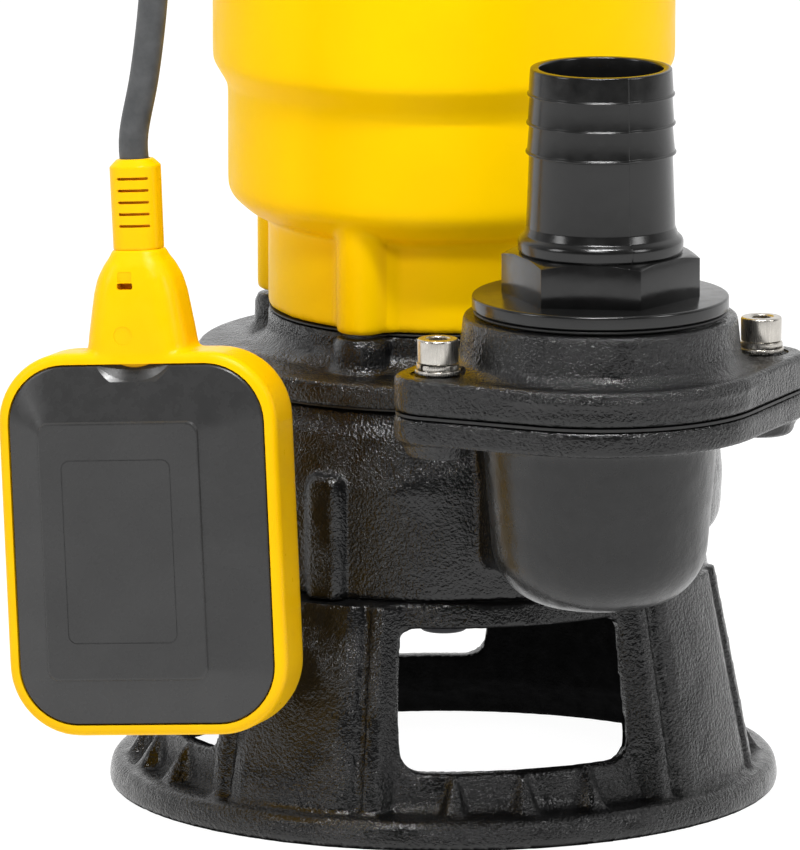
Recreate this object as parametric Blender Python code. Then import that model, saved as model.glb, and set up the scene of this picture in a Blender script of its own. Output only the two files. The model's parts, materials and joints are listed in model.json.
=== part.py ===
"""Submersible sump pump with a side discharge, a hose barb and a tethered float switch.

Every length is in millimetres unless it says otherwise. add() turns millimetres into metres.
The pump stands on z = 0. +Z is up and -Y is the discharge direction.
The world origin is the centre of the footprint's box, so the pump axis stands beside it.
"""

from math import asin, atan2, cos, hypot, pi, radians, sin, tau

import bmesh
import bpy
from mathutils import Euler, Matrix, Vector

MM = 0.001
GAP = 0.3  # clearance between neighbouring solids

# Strainer base
BASE_R = 115.0
BASE_H = 80.0
SHELF_Z = 10.5
CONE_FOOT_R, CONE_FOOT_Z = 101.0, 14.0
CONE_TOP_R = 90.0
BASE_WALL = 6.5
BASE_EYE_R = 52.0
WINDOW_COUNT = 4
WINDOW_ANGLE = -95.0
WINDOW_HALF_W = 39.7
WINDOW_Z = (23.5, 71.5)
WINDOW_CORNER = 7.0
PILLAR_HALF_ANGLE = 12.3
PILLAR_FOOT_R, PILLAR_TOP_R = 109.5, 95.5
BAND_ANGLES = (13.6, 18.4)
BAND_RELIEF = 2.2

# Volute casing and its elbow
CASING_Z = BASE_H + GAP
CASING_R = 88.5
CASING_TOP = 143.5
EYE_FLANGE_R = 62.0
CHAMBER_R = 76.0
SCROLL_R = 97.5
OUTLET_L = 148.0  # from the pump axis to the outlet axis
POT_R = 36.5
POT_BOTTOM = 89.0
POT_FILLET = 26.0
LOWER_FLANGE_Z = (150.0, 158.8)
UPPER_FLANGE_Z = (160.0, 172.0)
FLANGE_R = 55.0
EAR_R = 14.5
BOLT_SPACING = 114.8
WASHER_H = 3.4

# Oil chamber and motor
COLUMN_ANGLE = -137.0
COLUMN_CIRCLE_R = 62.0
DISC_R = 84.5
DISC_Z = (144.9, 153.0)
NECK_R = 60.0
NECK_TOP = 165.4
HOUSING_Z = 166.6
HOUSING_TOP = 370.0
DRUM_LOW_R, DRUM_R = 73.7, 79.0
STATOR_Z = (262.0, 332.0)
STATOR_R, STATOR_BORE = 71.4, 39.0
STATOR_SLOTS = 24
PLATE_Z = (356.0, 366.0)
CAP_Z = 371.4
CAP_TOP = 425.0
TURRET_R = 46.0
CAP_DECK = 400.0

# Rotor
BEARING_R, BEARING_BORE, BEARING_W = 20.0, 8.8, 12.0
LOWER_BEARING_Z = 177.3
UPPER_BEARING_Z = 349.0
SHAFT_R = 8.5

# Glands and handle
GLAND_Z = 411.0
FLOAT_GLAND_ANGLE = -154.5
POWER_GLAND_ANGLE = 154.5
HANDLE_FOOT_Y = 62.0
HANDLE_TOP = 454.0

# Float switch, in its own frame: X across, -Y to its front, Z up to the cable
FLOAT_W, FLOAT_H, FLOAT_T = 96.7, 129.0, 34.0
FLOAT_CORNER = 24.0
FLOAT_BACK_R = 14.0
COVER_INSET = 3.7
FLOAT_Z = 104.4
FLOAT_PLACE = (-125.5, -59.4)  # of its middle, from the pump axis
FLOAT_PITCH, FLOAT_LEAN, FLOAT_YAW = -4.2, -3.7, -35.2
NECK_Y = -3.5  # the neck and the cable stand in front of the float's middle
NECK_END_Z = 98.5
BOOT_TOP_Z = 128.5
BALL_R = 9.0
BALL_Z = -8.0
LEVER_PIVOT = (-16.0, 0.0, 6.0)

# Float cable
CABLE_R = 4.9
CABLE_BEND = 50.0
SWING_RHO = 135.0  # distance of the swing axis from the pump axis
CABLE_HANG = ((-122.7, -56.8, 318.0), (-123.9, -54.6, 286.0), (-126.0, -51.8, 261.0))  # from the pump axis

FLOAT_REACH = 174.07  # how far the float stands out from the pump axis along -X
PUMP_X = 0.5 * (FLOAT_REACH - BASE_R)
PUMP_Y = 0.5 * (OUTLET_L + FLANGE_R - BASE_R)

LARGE, MEDIUM, SMALL, TINY = 28, 20, 12, 8

MATERIALS = {
    "yellow_paint": ((0.93, 0.56, 0.01), 0.35, 0.0),
    "black_paint": ((0.012, 0.012, 0.013), 0.3, 0.0),
    "black_plastic": ((0.02, 0.02, 0.021), 0.35, 0.0),
    "yellow_plastic": ((0.95, 0.6, 0.01), 0.4, 0.0),
    "grey_plastic": ((0.065, 0.065, 0.067), 0.4, 0.0),
    "stainless": ((0.6, 0.58, 0.54), 0.3, 1.0),
    "steel": ((0.45, 0.45, 0.46), 0.35, 1.0),
    "rubber": ((0.02, 0.02, 0.02), 0.7, 0.0),
    "cable_rubber": ((0.05, 0.05, 0.053), 0.6, 0.0),
    "lamination": ((0.25, 0.25, 0.27), 0.45, 1.0),
    "copper": ((0.72, 0.33, 0.16), 0.35, 1.0),
    "aluminium": ((0.7, 0.7, 0.71), 0.4, 1.0),
    "carbon": ((0.05, 0.05, 0.05), 0.4, 0.0),
    "cast_iron": ((0.12, 0.12, 0.12), 0.6, 0.6),
}


# ---------------------------------------------------------------- helpers
def clear_scene():
    for obj in list(bpy.data.objects):
        bpy.data.objects.remove(obj, do_unlink=True)


def material(name):
    found = bpy.data.materials.get(name)
    if found:
        return found
    colour, roughness, metallic = MATERIALS[name]
    made = bpy.data.materials.new(name)
    made.use_nodes = True
    shader = made.node_tree.nodes["Principled BSDF"]
    shader.inputs["Base Color"].default_value = (*colour, 1.0)
    shader.inputs["Roughness"].default_value = roughness
    shader.inputs["Metallic"].default_value = metallic
    return made


def empty(name, place, parent=None, rotation=(0.0, 0.0, 0.0)):
    obj = bpy.data.objects.new(name, None)
    obj.location = [value * MM for value in place]
    obj.rotation_euler = [radians(value) for value in rotation]
    obj.parent = parent
    bpy.context.collection.objects.link(obj)
    return obj


def mesh_from(bm, name):
    bmesh.ops.remove_doubles(bm, verts=bm.verts, dist=1e-7)
    bmesh.ops.recalc_face_normals(bm, faces=bm.faces)
    mesh = bpy.data.meshes.new(name)
    bm.to_mesh(mesh)
    bm.free()
    mesh.shade_smooth()
    mesh.set_sharp_from_angle(angle=radians(35))
    return mesh


def add(name, mesh, finish, parent, place=(0.0, 0.0, 0.0), rotation=(0.0, 0.0, 0.0)):
    obj = bpy.data.objects.new(name, mesh)
    mesh.materials.append(material(finish))
    obj.location = [value * MM for value in place]
    obj.rotation_euler = [radians(value) for value in rotation]
    obj.parent = parent
    bpy.context.collection.objects.link(obj)
    return obj


def boolean(obj, mesh, operation, place=(0.0, 0.0, 0.0), rotation=(0.0, 0.0, 0.0)):
    """A hidden tool object, in the same parent as obj, joined to or cut from it."""
    guide = bpy.data.objects.new(f"{obj.name}_tool_{len(obj.modifiers) + 1}", mesh)
    guide.location = [value * MM for value in place]
    guide.rotation_euler = [radians(value) for value in rotation]
    guide.parent = obj.parent
    guide.hide_render = True
    guide.display_type = "WIRE"
    bpy.context.collection.objects.link(guide)
    modifier = obj.modifiers.new(operation.lower(), "BOOLEAN")
    modifier.operation = operation
    modifier.object = guide
    return guide


def join(obj, mesh, **placing):
    return boolean(obj, mesh, "UNION", **placing)


def cut(obj, mesh, **placing):
    return boolean(obj, mesh, "DIFFERENCE", **placing)


def polar(radius, angle, z=0.0):
    return (radius * cos(radians(angle)), radius * sin(radians(angle)), z)


def turned(name, profile, segments=LARGE):
    """A solid of revolution about Z from a closed outline of (radius, z)."""
    bm = bmesh.new()
    rings = []
    for radius, z in profile:
        if radius < 1e-6:
            rings.append([bm.verts.new((0.0, 0.0, z * MM))] * segments)
            continue
        ring = []
        for step in range(segments):
            angle = tau * step / segments
            ring.append(bm.verts.new((radius * MM * cos(angle), radius * MM * sin(angle), z * MM)))
        rings.append(ring)
    for index, lower in enumerate(rings):
        upper = rings[(index + 1) % len(rings)]
        for step in range(segments):
            after = (step + 1) % segments
            corners = list(dict.fromkeys((lower[step], lower[after], upper[after], upper[step])))
            if len(corners) > 2:
                bm.faces.new(corners)
    return mesh_from(bm, name)


def lofted(name, rings):
    """A closed solid through rings of 3-D points, each ring with as many points as the others."""
    bm = bmesh.new()
    loops = [[bm.verts.new([value * MM for value in point]) for point in ring] for ring in rings]
    for lower, upper in zip(loops, loops[1:]):
        count = len(lower)
        for step in range(count):
            after = (step + 1) % count
            bm.faces.new((lower[step], lower[after], upper[after], upper[step]))
    bm.faces.new(list(reversed(loops[0])))
    bm.faces.new(loops[-1])
    return mesh_from(bm, name)


def prism(name, outline, low, high):
    """An outline of (x, y) extruded from low to high along Z."""
    return lofted(name, [[(x, y, low) for x, y in outline], [(x, y, high) for x, y in outline]])


def block(name, low, high):
    outline = [(low[0], low[1]), (high[0], low[1]), (high[0], high[1]), (low[0], high[1])]
    return prism(name, outline, low[2], high[2])


def circle(radius, segments=SMALL, middle=(0.0, 0.0)):
    steps = [tau * step / segments for step in range(segments)]
    return [(middle[0] + radius * cos(a), middle[1] + radius * sin(a)) for a in steps]


def disc(name, radius, low, high, segments=SMALL, middle=(0.0, 0.0)):
    return prism(name, circle(radius, segments, middle), low, high)


def arc(middle, radius, start, end, steps):
    """Points on an arc from start to end, in degrees."""
    found = []
    for step in range(steps + 1):
        angle = radians(start + (end - start) * step / steps)
        found.append((middle[0] + radius * cos(angle), middle[1] + radius * sin(angle)))
    return found


def rounded_rectangle(width, height, corner, steps=4):
    across, up = 0.5 * width - corner, 0.5 * height - corner
    outline = []
    for middle, start in (((across, up), 0), ((-across, up), 90), ((-across, -up), 180), ((across, -up), 270)):
        outline += arc(middle, corner, start, start + 90, steps)
    return outline


def hexagon(across_flats, turn=0.0):
    radius = across_flats / cos(pi / 6) / 2
    return [polar(radius, turn + 60 * step)[:2] for step in range(6)]


def sector(low_r, high_r, start, end, z, steps=4):
    """A ring sector's outline at height z, as 3-D points."""
    outer = [(x, y, z) for x, y in arc((0.0, 0.0), high_r, start, end, steps)]
    inner = [(x, y, z) for x, y in arc((0.0, 0.0), low_r, end, start, steps)]
    return outer + inner


# ---------------------------------------------------------------- strainer base
def cone_r(z):
    slope = (CONE_FOOT_R - CONE_TOP_R) / (BASE_H - CONE_FOOT_Z)
    return CONE_TOP_R + slope * (BASE_H - z)


def pillar_r(z):
    return PILLAR_TOP_R + (PILLAR_FOOT_R - PILLAR_TOP_R) * (BASE_H - z) / (BASE_H - SHELF_Z)


def make_base(pump):
    profile = [
        (BASE_EYE_R, BASE_H),
        (CONE_TOP_R, BASE_H),
        (CONE_FOOT_R, CONE_FOOT_Z),
        (CONE_FOOT_R + 1.5, SHELF_Z + 0.5),
        (BASE_R - 4.0, SHELF_Z),
        (BASE_R - 1.2, SHELF_Z - 2.0),
        (BASE_R, SHELF_Z - 5.0),
        (BASE_R, 2.0),
        (BASE_R - 1.0, 0.0),
        (BASE_R - 7.5, 0.0),
        (BASE_R - 9.0, 5.0),
        (CONE_FOOT_R - BASE_WALL, CONE_FOOT_Z),
        (CONE_TOP_R - BASE_WALL + 1.2, BASE_H - 7.0),
        (BASE_EYE_R, BASE_H - 7.0),
    ]
    base = add("base_strainer", turned("base_strainer", profile), "black_paint", pump)
    middle_z = 0.5 * (WINDOW_Z[0] + WINDOW_Z[1])
    opening = rounded_rectangle(2 * WINDOW_HALF_W, WINDOW_Z[1] - WINDOW_Z[0], WINDOW_CORNER, 3)
    near_r, far_r = 60.0, 130.0
    rings = [[(x, y, middle_z + z) for y, z in opening] for x in (near_r, far_r)]
    for step in range(WINDOW_COUNT):
        turn = WINDOW_ANGLE + 360 / WINDOW_COUNT * step
        cut(base, lofted("window", rings), rotation=(0, 0, turn))
        leg = turn + 180 / WINDOW_COUNT
        foot = CONE_FOOT_Z - 2.5
        low_top = BASE_H - 1.5
        spread = PILLAR_HALF_ANGLE
        pillar = [
            sector(CONE_FOOT_R - 5.0, pillar_r(foot), leg - spread, leg + spread, foot),
            sector(CONE_TOP_R - 4.0, pillar_r(low_top), leg - spread, leg + spread, low_top),
        ]
        join(base, lofted("pillar", pillar))
        for side in (-1, 1):
            ends = sorted((leg + side * BAND_ANGLES[0], leg + side * BAND_ANGLES[1]))
            band = []
            for z in (CONE_FOOT_Z + 0.7, BASE_H - 2.0):
                band.append(sector(cone_r(z) - 3.0, cone_r(z) + BAND_RELIEF, *ends, z, 2))
            join(base, lofted("band", band))
        for side in (-1, 0, 1):
            at = radians(turn + 13.5 * side)
            join(base, gusset(at))
    return base


def gusset(angle):
    """A small buttress on the shelf, its ridge running down the sill."""
    top_z, foot_z = WINDOW_Z[0] - 0.8, SHELF_Z - 0.8
    root = cone_r(CONE_FOOT_Z) - 3.0
    rings = []
    for z, half, reach in ((foot_z, 4.6, cone_r(foot_z) + 6.0), (top_z, 1.0, cone_r(top_z) + 0.9)):
        corners = ((root, -half), (reach, -0.45 * half), (reach, 0.45 * half), (root, half))
        turned_corners = []
        for x, y in corners:
            turned_corners.append((x * cos(angle) - y * sin(angle), x * sin(angle) + y * cos(angle), z))
        rings.append(turned_corners)
    return lofted("gusset", rings)


def make_suction_plate(pump):
    low, high = CASING_Z, CASING_Z + 7.0
    rim = EYE_FLANGE_R - GAP
    profile = [(21.0, low), (rim, low), (rim, high), (27.0, high), (21.0, high - 3.0)]
    return add("suction_plate", turned("suction_plate", profile), "cast_iron", pump)


# ---------------------------------------------------------------- volute casing
def flange_outline():
    """A round flange with an ear at each end, as the hull of three circles."""
    ear_x = 0.5 * BOLT_SPACING
    lean = 90 - asin((FLANGE_R - EAR_R) / ear_x) * 180 / pi
    outline = arc((ear_x, 0), EAR_R, -lean, lean, 6)
    outline += arc((0, 0), FLANGE_R, lean, 180 - lean, 8)
    outline += arc((-ear_x, 0), EAR_R, 180 - lean, 180 + lean, 6)
    outline += arc((0, 0), FLANGE_R, 180 + lean, 360 - lean, 8)
    return [(x, y - OUTLET_L) for x, y in outline]


def scroll_rings(low_z, high_z, root_r, start_r, end_r):
    """Sections of the volute scroll, which winds clockwise from above to the outlet."""
    start, end, count = 165.0, -70.0, 16
    rings = []
    for step in range(count + 1):
        share = step / count
        angle = start + (end - start) * share
        reach = start_r + (end_r - start_r) * share ** 0.7
        section = (
            (root_r, low_z),
            (reach - 5.0, low_z),
            (reach, low_z + 6.0),
            (reach, high_z - 12.0),
            (reach - 7.0, high_z),
            (root_r, high_z),
        )
        rings.append([polar(radius, angle, z) for radius, z in section])
    return rings


def make_volute(pump):
    profile = [
        (CASING_R, CASING_Z),
        (CASING_R, 117.0),
        (CASING_R - 2.0, 123.0),
        (84.0, 136.0),
        (81.0, 139.0),
        (81.0, CASING_TOP),
        (64.0, CASING_TOP),
        (64.0, 128.0),
        (CHAMBER_R - 4.0, 120.0),
        (CHAMBER_R, 114.0),
        (CHAMBER_R, 94.0),
        (EYE_FLANGE_R, CASING_Z + 7.3),
        (EYE_FLANGE_R, CASING_Z),
    ]
    volute = add("volute_casing", turned("volute_casing", profile), "black_paint", pump)
    join(volute, lofted("scroll", scroll_rings(90.5, 129.0, 80.0, 84.5, SCROLL_R)))
    for step in range(4):
        place = polar(85.0, COLUMN_ANGLE + 90 * step)[:2]
        join(volute, disc("boss", 7.0, CASING_Z, 120.0, TINY, place))
    throat = [(-26.0, -OUTLET_L), (26.0, -OUTLET_L), (26.0, -79.0), (-26.0, -79.0)]
    join(volute, prism("throat", throat, POT_BOTTOM + 3.0, 140.0))
    fillet = arc((POT_R - POT_FILLET, POT_BOTTOM + POT_FILLET), POT_FILLET, -90, 0, 6)
    pot = [(0.0, POT_BOTTOM), *fillet, (POT_R + 1.0, 152.0), (0.0, 152.0)]
    join(volute, turned("pot", pot, MEDIUM), place=(0, -OUTLET_L, 0))
    join(volute, prism("lower_flange", flange_outline(), *LOWER_FLANGE_Z))
    for side in (-1, 1):
        ear = (0.5 * BOLT_SPACING * side, -OUTLET_L)
        boss = [(0.0, 144.0), (8.5, 144.0), (12.0, 147.0), (12.0, 151.0), (0.0, 151.0)]
        join(volute, turned("ear_boss", boss, SMALL), place=(*ear, 0))
        cut(volute, disc("bolt_hole", 4.4, 146.0, 165.0, TINY, ear))
    cut(volute, lofted("passage", scroll_rings(97.0, 121.0, 70.0, 77.0, SCROLL_R - 8.0)))
    tunnel = [(x, -y, 109.0 + z) for y in (66.0, OUTLET_L) for x, z in circle(16.0, SMALL)]
    cut(volute, lofted("tunnel", [tunnel[:SMALL], tunnel[SMALL:]]))
    bore = [(0.0, 96.0), (18.0, 96.0), (25.0, 104.0), (25.0, 165.0), (0.0, 165.0)]
    cut(volute, turned("outlet_bore", bore, MEDIUM), place=(0, -OUTLET_L, 0))
    return volute


def make_discharge(pump):
    ears = [(0.5 * BOLT_SPACING * side, -OUTLET_L) for side in (-1, 1)]
    low, high = LOWER_FLANGE_Z[1] + GAP, UPPER_FLANGE_Z[0] - GAP
    gasket = add("discharge_gasket", prism("discharge_gasket", flange_outline(), low, high), "rubber", pump)
    cut(gasket, disc("bore", 25.0, low - 2, high + 2, MEDIUM, (0, -OUTLET_L)))
    low, high = UPPER_FLANGE_Z
    flange = add("discharge_flange", prism("discharge_flange", flange_outline(), low, high), "black_paint", pump)
    neck_top = high + 16.6
    neck = [(0.0, high - 3), (50.5, high - 3), (47.0, high + 3), (45.4, neck_top - 2.5), (44.0, neck_top), (0.0, neck_top)]
    join(flange, turned("neck", neck, LARGE), place=(0, -OUTLET_L, 0))
    cut(flange, disc("thread", 29.0, high - 1.0, neck_top + 5, MEDIUM, (0, -OUTLET_L)))
    cut(flange, disc("bore", 25.0, low - 5, neck_top + 3, MEDIUM, (0, -OUTLET_L)))
    for number, ear in enumerate(ears):
        side = ("left", "right")[number]
        cut(gasket, disc("hole", 4.4, low - 20, low + 20, TINY, ear))
        cut(flange, disc("hole", 4.4, low - 20, high + 20, TINY, ear))
        washer_low = high + GAP
        ring = arc((0, 0), 7.4, 8, 352, 14) + arc((0, 0), 4.3, 348, 12, 14)
        washer = prism("washer", ring, washer_low, washer_low + WASHER_H)
        turn = (250, 75)[number]
        add(f"flange_washer_{side}", washer, "stainless", pump, place=(*ear, 0), rotation=(0, 0, turn))
        head_low = washer_low + WASHER_H + GAP
        screw = socket_screw(f"flange_screw_{side}", pump, (*ear, head_low), (4.0, 27.5), (6.65, 8.0), 6.0)
        screw.rotation_euler.z = radians((12, 40)[number])
    seal_low = neck_top + GAP
    seal = [(31.0, seal_low), (41.0, seal_low), (41.0, seal_low + 1.3), (31.0, seal_low + 1.3)]
    add("barb_seal_ring", turned("barb_seal_ring", seal, MEDIUM), "rubber", pump, place=(0, -OUTLET_L, 0))
    make_barb(pump, seal_low + 1.3 + GAP, high)


def make_barb(pump, disc_low, thread_low):
    """Threaded hose tail: thread, washer face, hexagon, bead and a tube with three barbs."""
    disc_high = disc_low + 4.6
    hex_high = disc_high + 15.0
    rim = disc_low + 81.1
    tooth = 9.7
    outline = [
        (20.4, thread_low + GAP),
        (28.6, thread_low + GAP),
        (28.6, disc_low),
        (42.6, disc_low),
        (42.6, disc_high),
        (26.0, disc_high),
        (26.0, hex_high),
        (27.1, hex_high + 1.6),
        (27.1, hex_high + 4.2),
        (25.4, hex_high + 6.0),
        (24.8, hex_high + 7.2),
    ]
    for step in range(3):
        low = rim - 28.4 + tooth * step
        outline.append((23.6 - 0.1 * step, low))
        outline.append((24.7 - 0.3 * step, low))
    outline += [(23.2, rim - 0.8), (22.6, rim), (21.0, rim), (20.4, rim - 0.8)]
    barb = add("hose_barb", turned("hose_barb", outline, LARGE), "black_plastic", pump, place=(0, -OUTLET_L, 0))
    nut = prism("hexagon", hexagon(56.6, -90), disc_high - 0.5, hex_high)
    nut_piece = join(barb, nut, place=(0, -OUTLET_L, 0))
    bore = disc("hex_bore", 20.4, disc_low - 5, hex_high + 5, LARGE)
    cut(barb, bore, place=(0, -OUTLET_L, 0))
    return nut_piece


def socket_screw(name, parent, place, shank, head, socket):
    """A socket head cap screw hanging down from under its head, which is at place."""
    shank_r, length = shank
    head_r, head_h = head
    profile = [
        (0.0, -length),
        (shank_r - 0.6, -length),
        (shank_r, -length + 0.8),
        (shank_r, 0.0),
        (head_r, 0.0),
        (head_r, head_h - 0.7),
        (head_r - 0.7, head_h),
        (0.0, head_h),
    ]
    screw = add(name, turned(name, profile, SMALL), "stainless", parent, place=place)
    wrench = prism("socket", hexagon(socket), 0.5 * head_h, head_h + 2)
    guide = cut(screw, wrench)
    guide.location = screw.location
    return screw


# ---------------------------------------------------------------- oil chamber
def make_seal_chamber(pump):
    low, high = DISC_Z
    profile = [
        (DISC_R, low),
        (DISC_R, high - 1.0),
        (DISC_R - 1.0, high),
        (64.0, high + 1.2),
        (61.0, high + 3.0),
        (NECK_R, high + 6.0),
        (NECK_R, NECK_TOP),
        (50.0, NECK_TOP),
        (50.0, 149.0),
        (16.3, 149.0),
        (16.3, 143.0),
        (10.5, 143.0),
        (10.5, 138.0),
        (63.7, 138.0),
        (63.7, low),
    ]
    chamber = add("seal_chamber", turned("seal_chamber", profile), "black_paint", pump)
    for step in range(4):
        place = polar(COLUMN_CIRCLE_R, COLUMN_ANGLE + 90 * step)[:2]
        join(chamber, disc("boss", 10.0, 150.0, NECK_TOP, SMALL, place))
    side = cylinder_along_x("plug_hole", 3.3, 45.0, 70.0)
    cut(chamber, side, place=(0, 0, 160.2), rotation=(0, 0, 90))
    gasket_low = CASING_TOP + GAP
    gasket = [(65.0, gasket_low), (80.5, gasket_low), (80.5, low - GAP), (65.0, low - GAP)]
    add("volute_gasket", turned("volute_gasket", gasket), "rubber", pump)
    joint = [(53.0, NECK_TOP + GAP), (59.5, NECK_TOP + GAP), (59.5, HOUSING_Z - GAP), (53.0, HOUSING_Z - GAP)]
    add("housing_gasket", turned("housing_gasket", joint), "rubber", pump)
    cover = [(16.3, 158.0), (49.4, 158.0), (49.4, 164.0), (12.0, 164.0), (12.0, 161.5), (16.3, 161.5)]
    add("oil_chamber_cover", turned("oil_chamber_cover", cover, MEDIUM), "cast_iron", pump)
    seal = [(SHAFT_R + GAP, 154.0), (16.0, 154.0), (16.0, 161.2), (11.5, 161.2), (11.5, 156.5), (SHAFT_R + GAP, 156.5)]
    add("oil_seal", turned("oil_seal", seal, SMALL), "rubber", pump)
    seat = [(9.6, 143.3), (16.0, 143.3), (16.0, 148.7), (9.6, 148.7)]
    add("lower_seal_seat", turned("lower_seal_seat", seat, SMALL), "carbon", pump)
    plug = [(0.0, 51.0), (3.0, 51.0), (3.0, 62.2), (5.0, 62.2), (5.0, 65.3), (4.4, 65.9), (0.0, 65.9)]
    placing = {"place": (0, 0, 160.2), "rotation": (-90, 0, 0)}
    plug_piece = add("oil_plug", turned("oil_plug", plug, SMALL), "stainless", pump, **placing)
    guide = cut(plug_piece, prism("socket", hexagon(4.0), 63.2, 69.0))
    guide.location, guide.rotation_euler = plug_piece.location, plug_piece.rotation_euler


def cylinder_along_x(name, radius, near, far, segments=SMALL):
    return lofted(name, [[(x, y, z) for y, z in circle(radius, segments)] for x in (near, far)])


# ---------------------------------------------------------------- motor
def make_housing(pump):
    top = HOUSING_TOP
    profile = [
        (NECK_R, HOUSING_Z),
        (NECK_R, 198.0),
        (61.5, 201.0),
        *arc((61.7, 214.0), 12.0, -55, 0, 4),
        (DRUM_LOW_R, 244.0),
        (DRUM_R - 0.4, 252.5),
        (DRUM_R, 255.0),
        (DRUM_R, top - 1.0),
        (DRUM_R - 1.0, top),
        (75.0, top),
        (75.0, PLATE_Z[0] - GAP),
        (72.0, PLATE_Z[0] - GAP),
        (72.0, STATOR_Z[0] - 2.0),
        (68.0, STATOR_Z[0] - 5.0),
        (68.0, 216.0),
        (55.0, 204.0),
        (55.0, 189.6),
        (BEARING_R + GAP, 189.6),
        (BEARING_R + GAP, LOWER_BEARING_Z - GAP),
        (12.0, LOWER_BEARING_Z - GAP),
        (12.0, 172.0),
        (52.0, 172.0),
        (52.0, HOUSING_Z),
    ]
    housing = add("motor_housing", turned("motor_housing", profile), "yellow_paint", pump)
    for step in range(4):
        place = polar(COLUMN_CIRCLE_R, COLUMN_ANGLE + 90 * step)[:2]
        join(housing, disc("column", 8.7, HOUSING_Z, 208.0, SMALL, place))
    return housing


def stator_outline():
    """Half a lamination ring's inner edge, slot by slot: see make_stator."""
    slot_pitch = 360 / STATOR_SLOTS
    outline = []
    for step in range(STATOR_SLOTS):
        at = slot_pitch * step
        for radius, offset in ((STATOR_BORE, -0.36), (57.0, -0.3), (57.0, 0.3), (STATOR_BORE, 0.36)):
            outline.append(polar(radius, at + offset * slot_pitch * 0.8)[:2])
    return outline


def make_stator(pump):
    low, high = STATOR_Z
    stator = add("stator_core", disc("stator_core", STATOR_R, low, high, MEDIUM), "lamination", pump)
    cut(stator, prism("slots", stator_outline(), low - 5, high + 5))
    for name, start in (("winding_lower", low - GAP - 18.0), ("winding_upper", high + GAP)):
        middle = start + 9.0
        profile = [(55.0 + 10.0 * cos(tau * k / 8), middle + 9.0 * sin(tau * k / 8)) for k in range(8)]
        add(name, turned(name, profile, MEDIUM), "copper", pump)


def bearing(pump, rotor, prefix, low):
    high = low + BEARING_W
    outer = [(16.5, low), (BEARING_R, low), (BEARING_R, high), (16.5, high)]
    add(f"{prefix}_bearing_outer", turned(prefix, outer, MEDIUM), "steel", pump)
    inner = [(BEARING_BORE, low), (12.0, low), (12.0, high), (BEARING_BORE, high)]
    add(f"{prefix}_bearing_inner", turned(prefix, inner, SMALL), "steel", rotor)


def make_bearing_plate(pump):
    low, high = PLATE_Z
    profile = [
        (74.4, low),
        (74.4, high),
        (24.0, high),
        (11.0, high),
        (11.0, UPPER_BEARING_Z + BEARING_W + GAP),
        (BEARING_R + GAP, UPPER_BEARING_Z + BEARING_W + GAP),
        (BEARING_R + GAP, UPPER_BEARING_Z),
        (26.0, UPPER_BEARING_Z),
        (28.0, low),
    ]
    plate = add("bearing_plate", turned("bearing_plate", profile, MEDIUM), "aluminium", pump)
    for step in range(4):
        place = polar(60.0, 45 + 90 * step)[:2]
        cut(plate, disc("hole", 3.3, low - 5, high + 5, TINY, place))


def make_cap(pump):
    low = CAP_Z
    gasket_low = HOUSING_TOP + GAP
    gasket = [(73.0, gasket_low), (78.6, gasket_low), (78.6, low - GAP), (73.0, low - GAP)]
    add("cap_gasket", turned("cap_gasket", gasket), "rubber", pump)
    deck = CAP_DECK - 2.0
    profile = [
        (DRUM_R, low),
        (DRUM_R, 386.0),
        *arc((68.0, deck - 11.0), 11.0, 0, 90, 4),
        (TURRET_R + 0.8, CAP_DECK),
        (TURRET_R, CAP_DECK + 0.8),
        *arc((TURRET_R - 6.0, CAP_TOP - 6.0), 6.0, 0, 90, 3),
        (0.0, CAP_TOP),
        (0.0, CAP_TOP - 7.0),
        (38.0, CAP_TOP - 7.0),
        (39.0, 394.0),
        (66.0, 391.0),
        (72.0, 384.0),
        (72.0, low),
    ]
    cap = add("top_cap", turned("top_cap", profile), "yellow_paint", pump)
    for step in range(4):
        place = polar(60.0, 45 + 90 * step)[:2]
        join(cap, disc("post", 6.5, low, 396.0, TINY, place))
        cut(cap, disc("counterbore", 6.2, 396.5, 405.0, TINY, place))
        cut(cap, disc("hole", 3.3, low - 5, 400.0, TINY, place))
        name = f"cap_screw_{step + 1}"
        socket_screw(name, pump, (*place, 396.5 + GAP), (3.0, 34.0), (5.0, 6.0), 5.0)
    for side in (-1, 1):
        foot = (0.0, HANDLE_FOOT_Y * side)
        join(cap, disc("pad", 12.0, 392.0, CAP_DECK + 0.5, SMALL, foot))
        cut(cap, disc("hole", 3.3, 393.0, 405.0, TINY, foot))
    for turn in (FLOAT_GLAND_ANGLE, POWER_GLAND_ANGLE):
        cut(cap, cylinder_along_x("gland_hole", 7.3, 30.0, 60.0), place=(0, 0, GLAND_Z), rotation=(0, 0, turn))
    return cap


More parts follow.
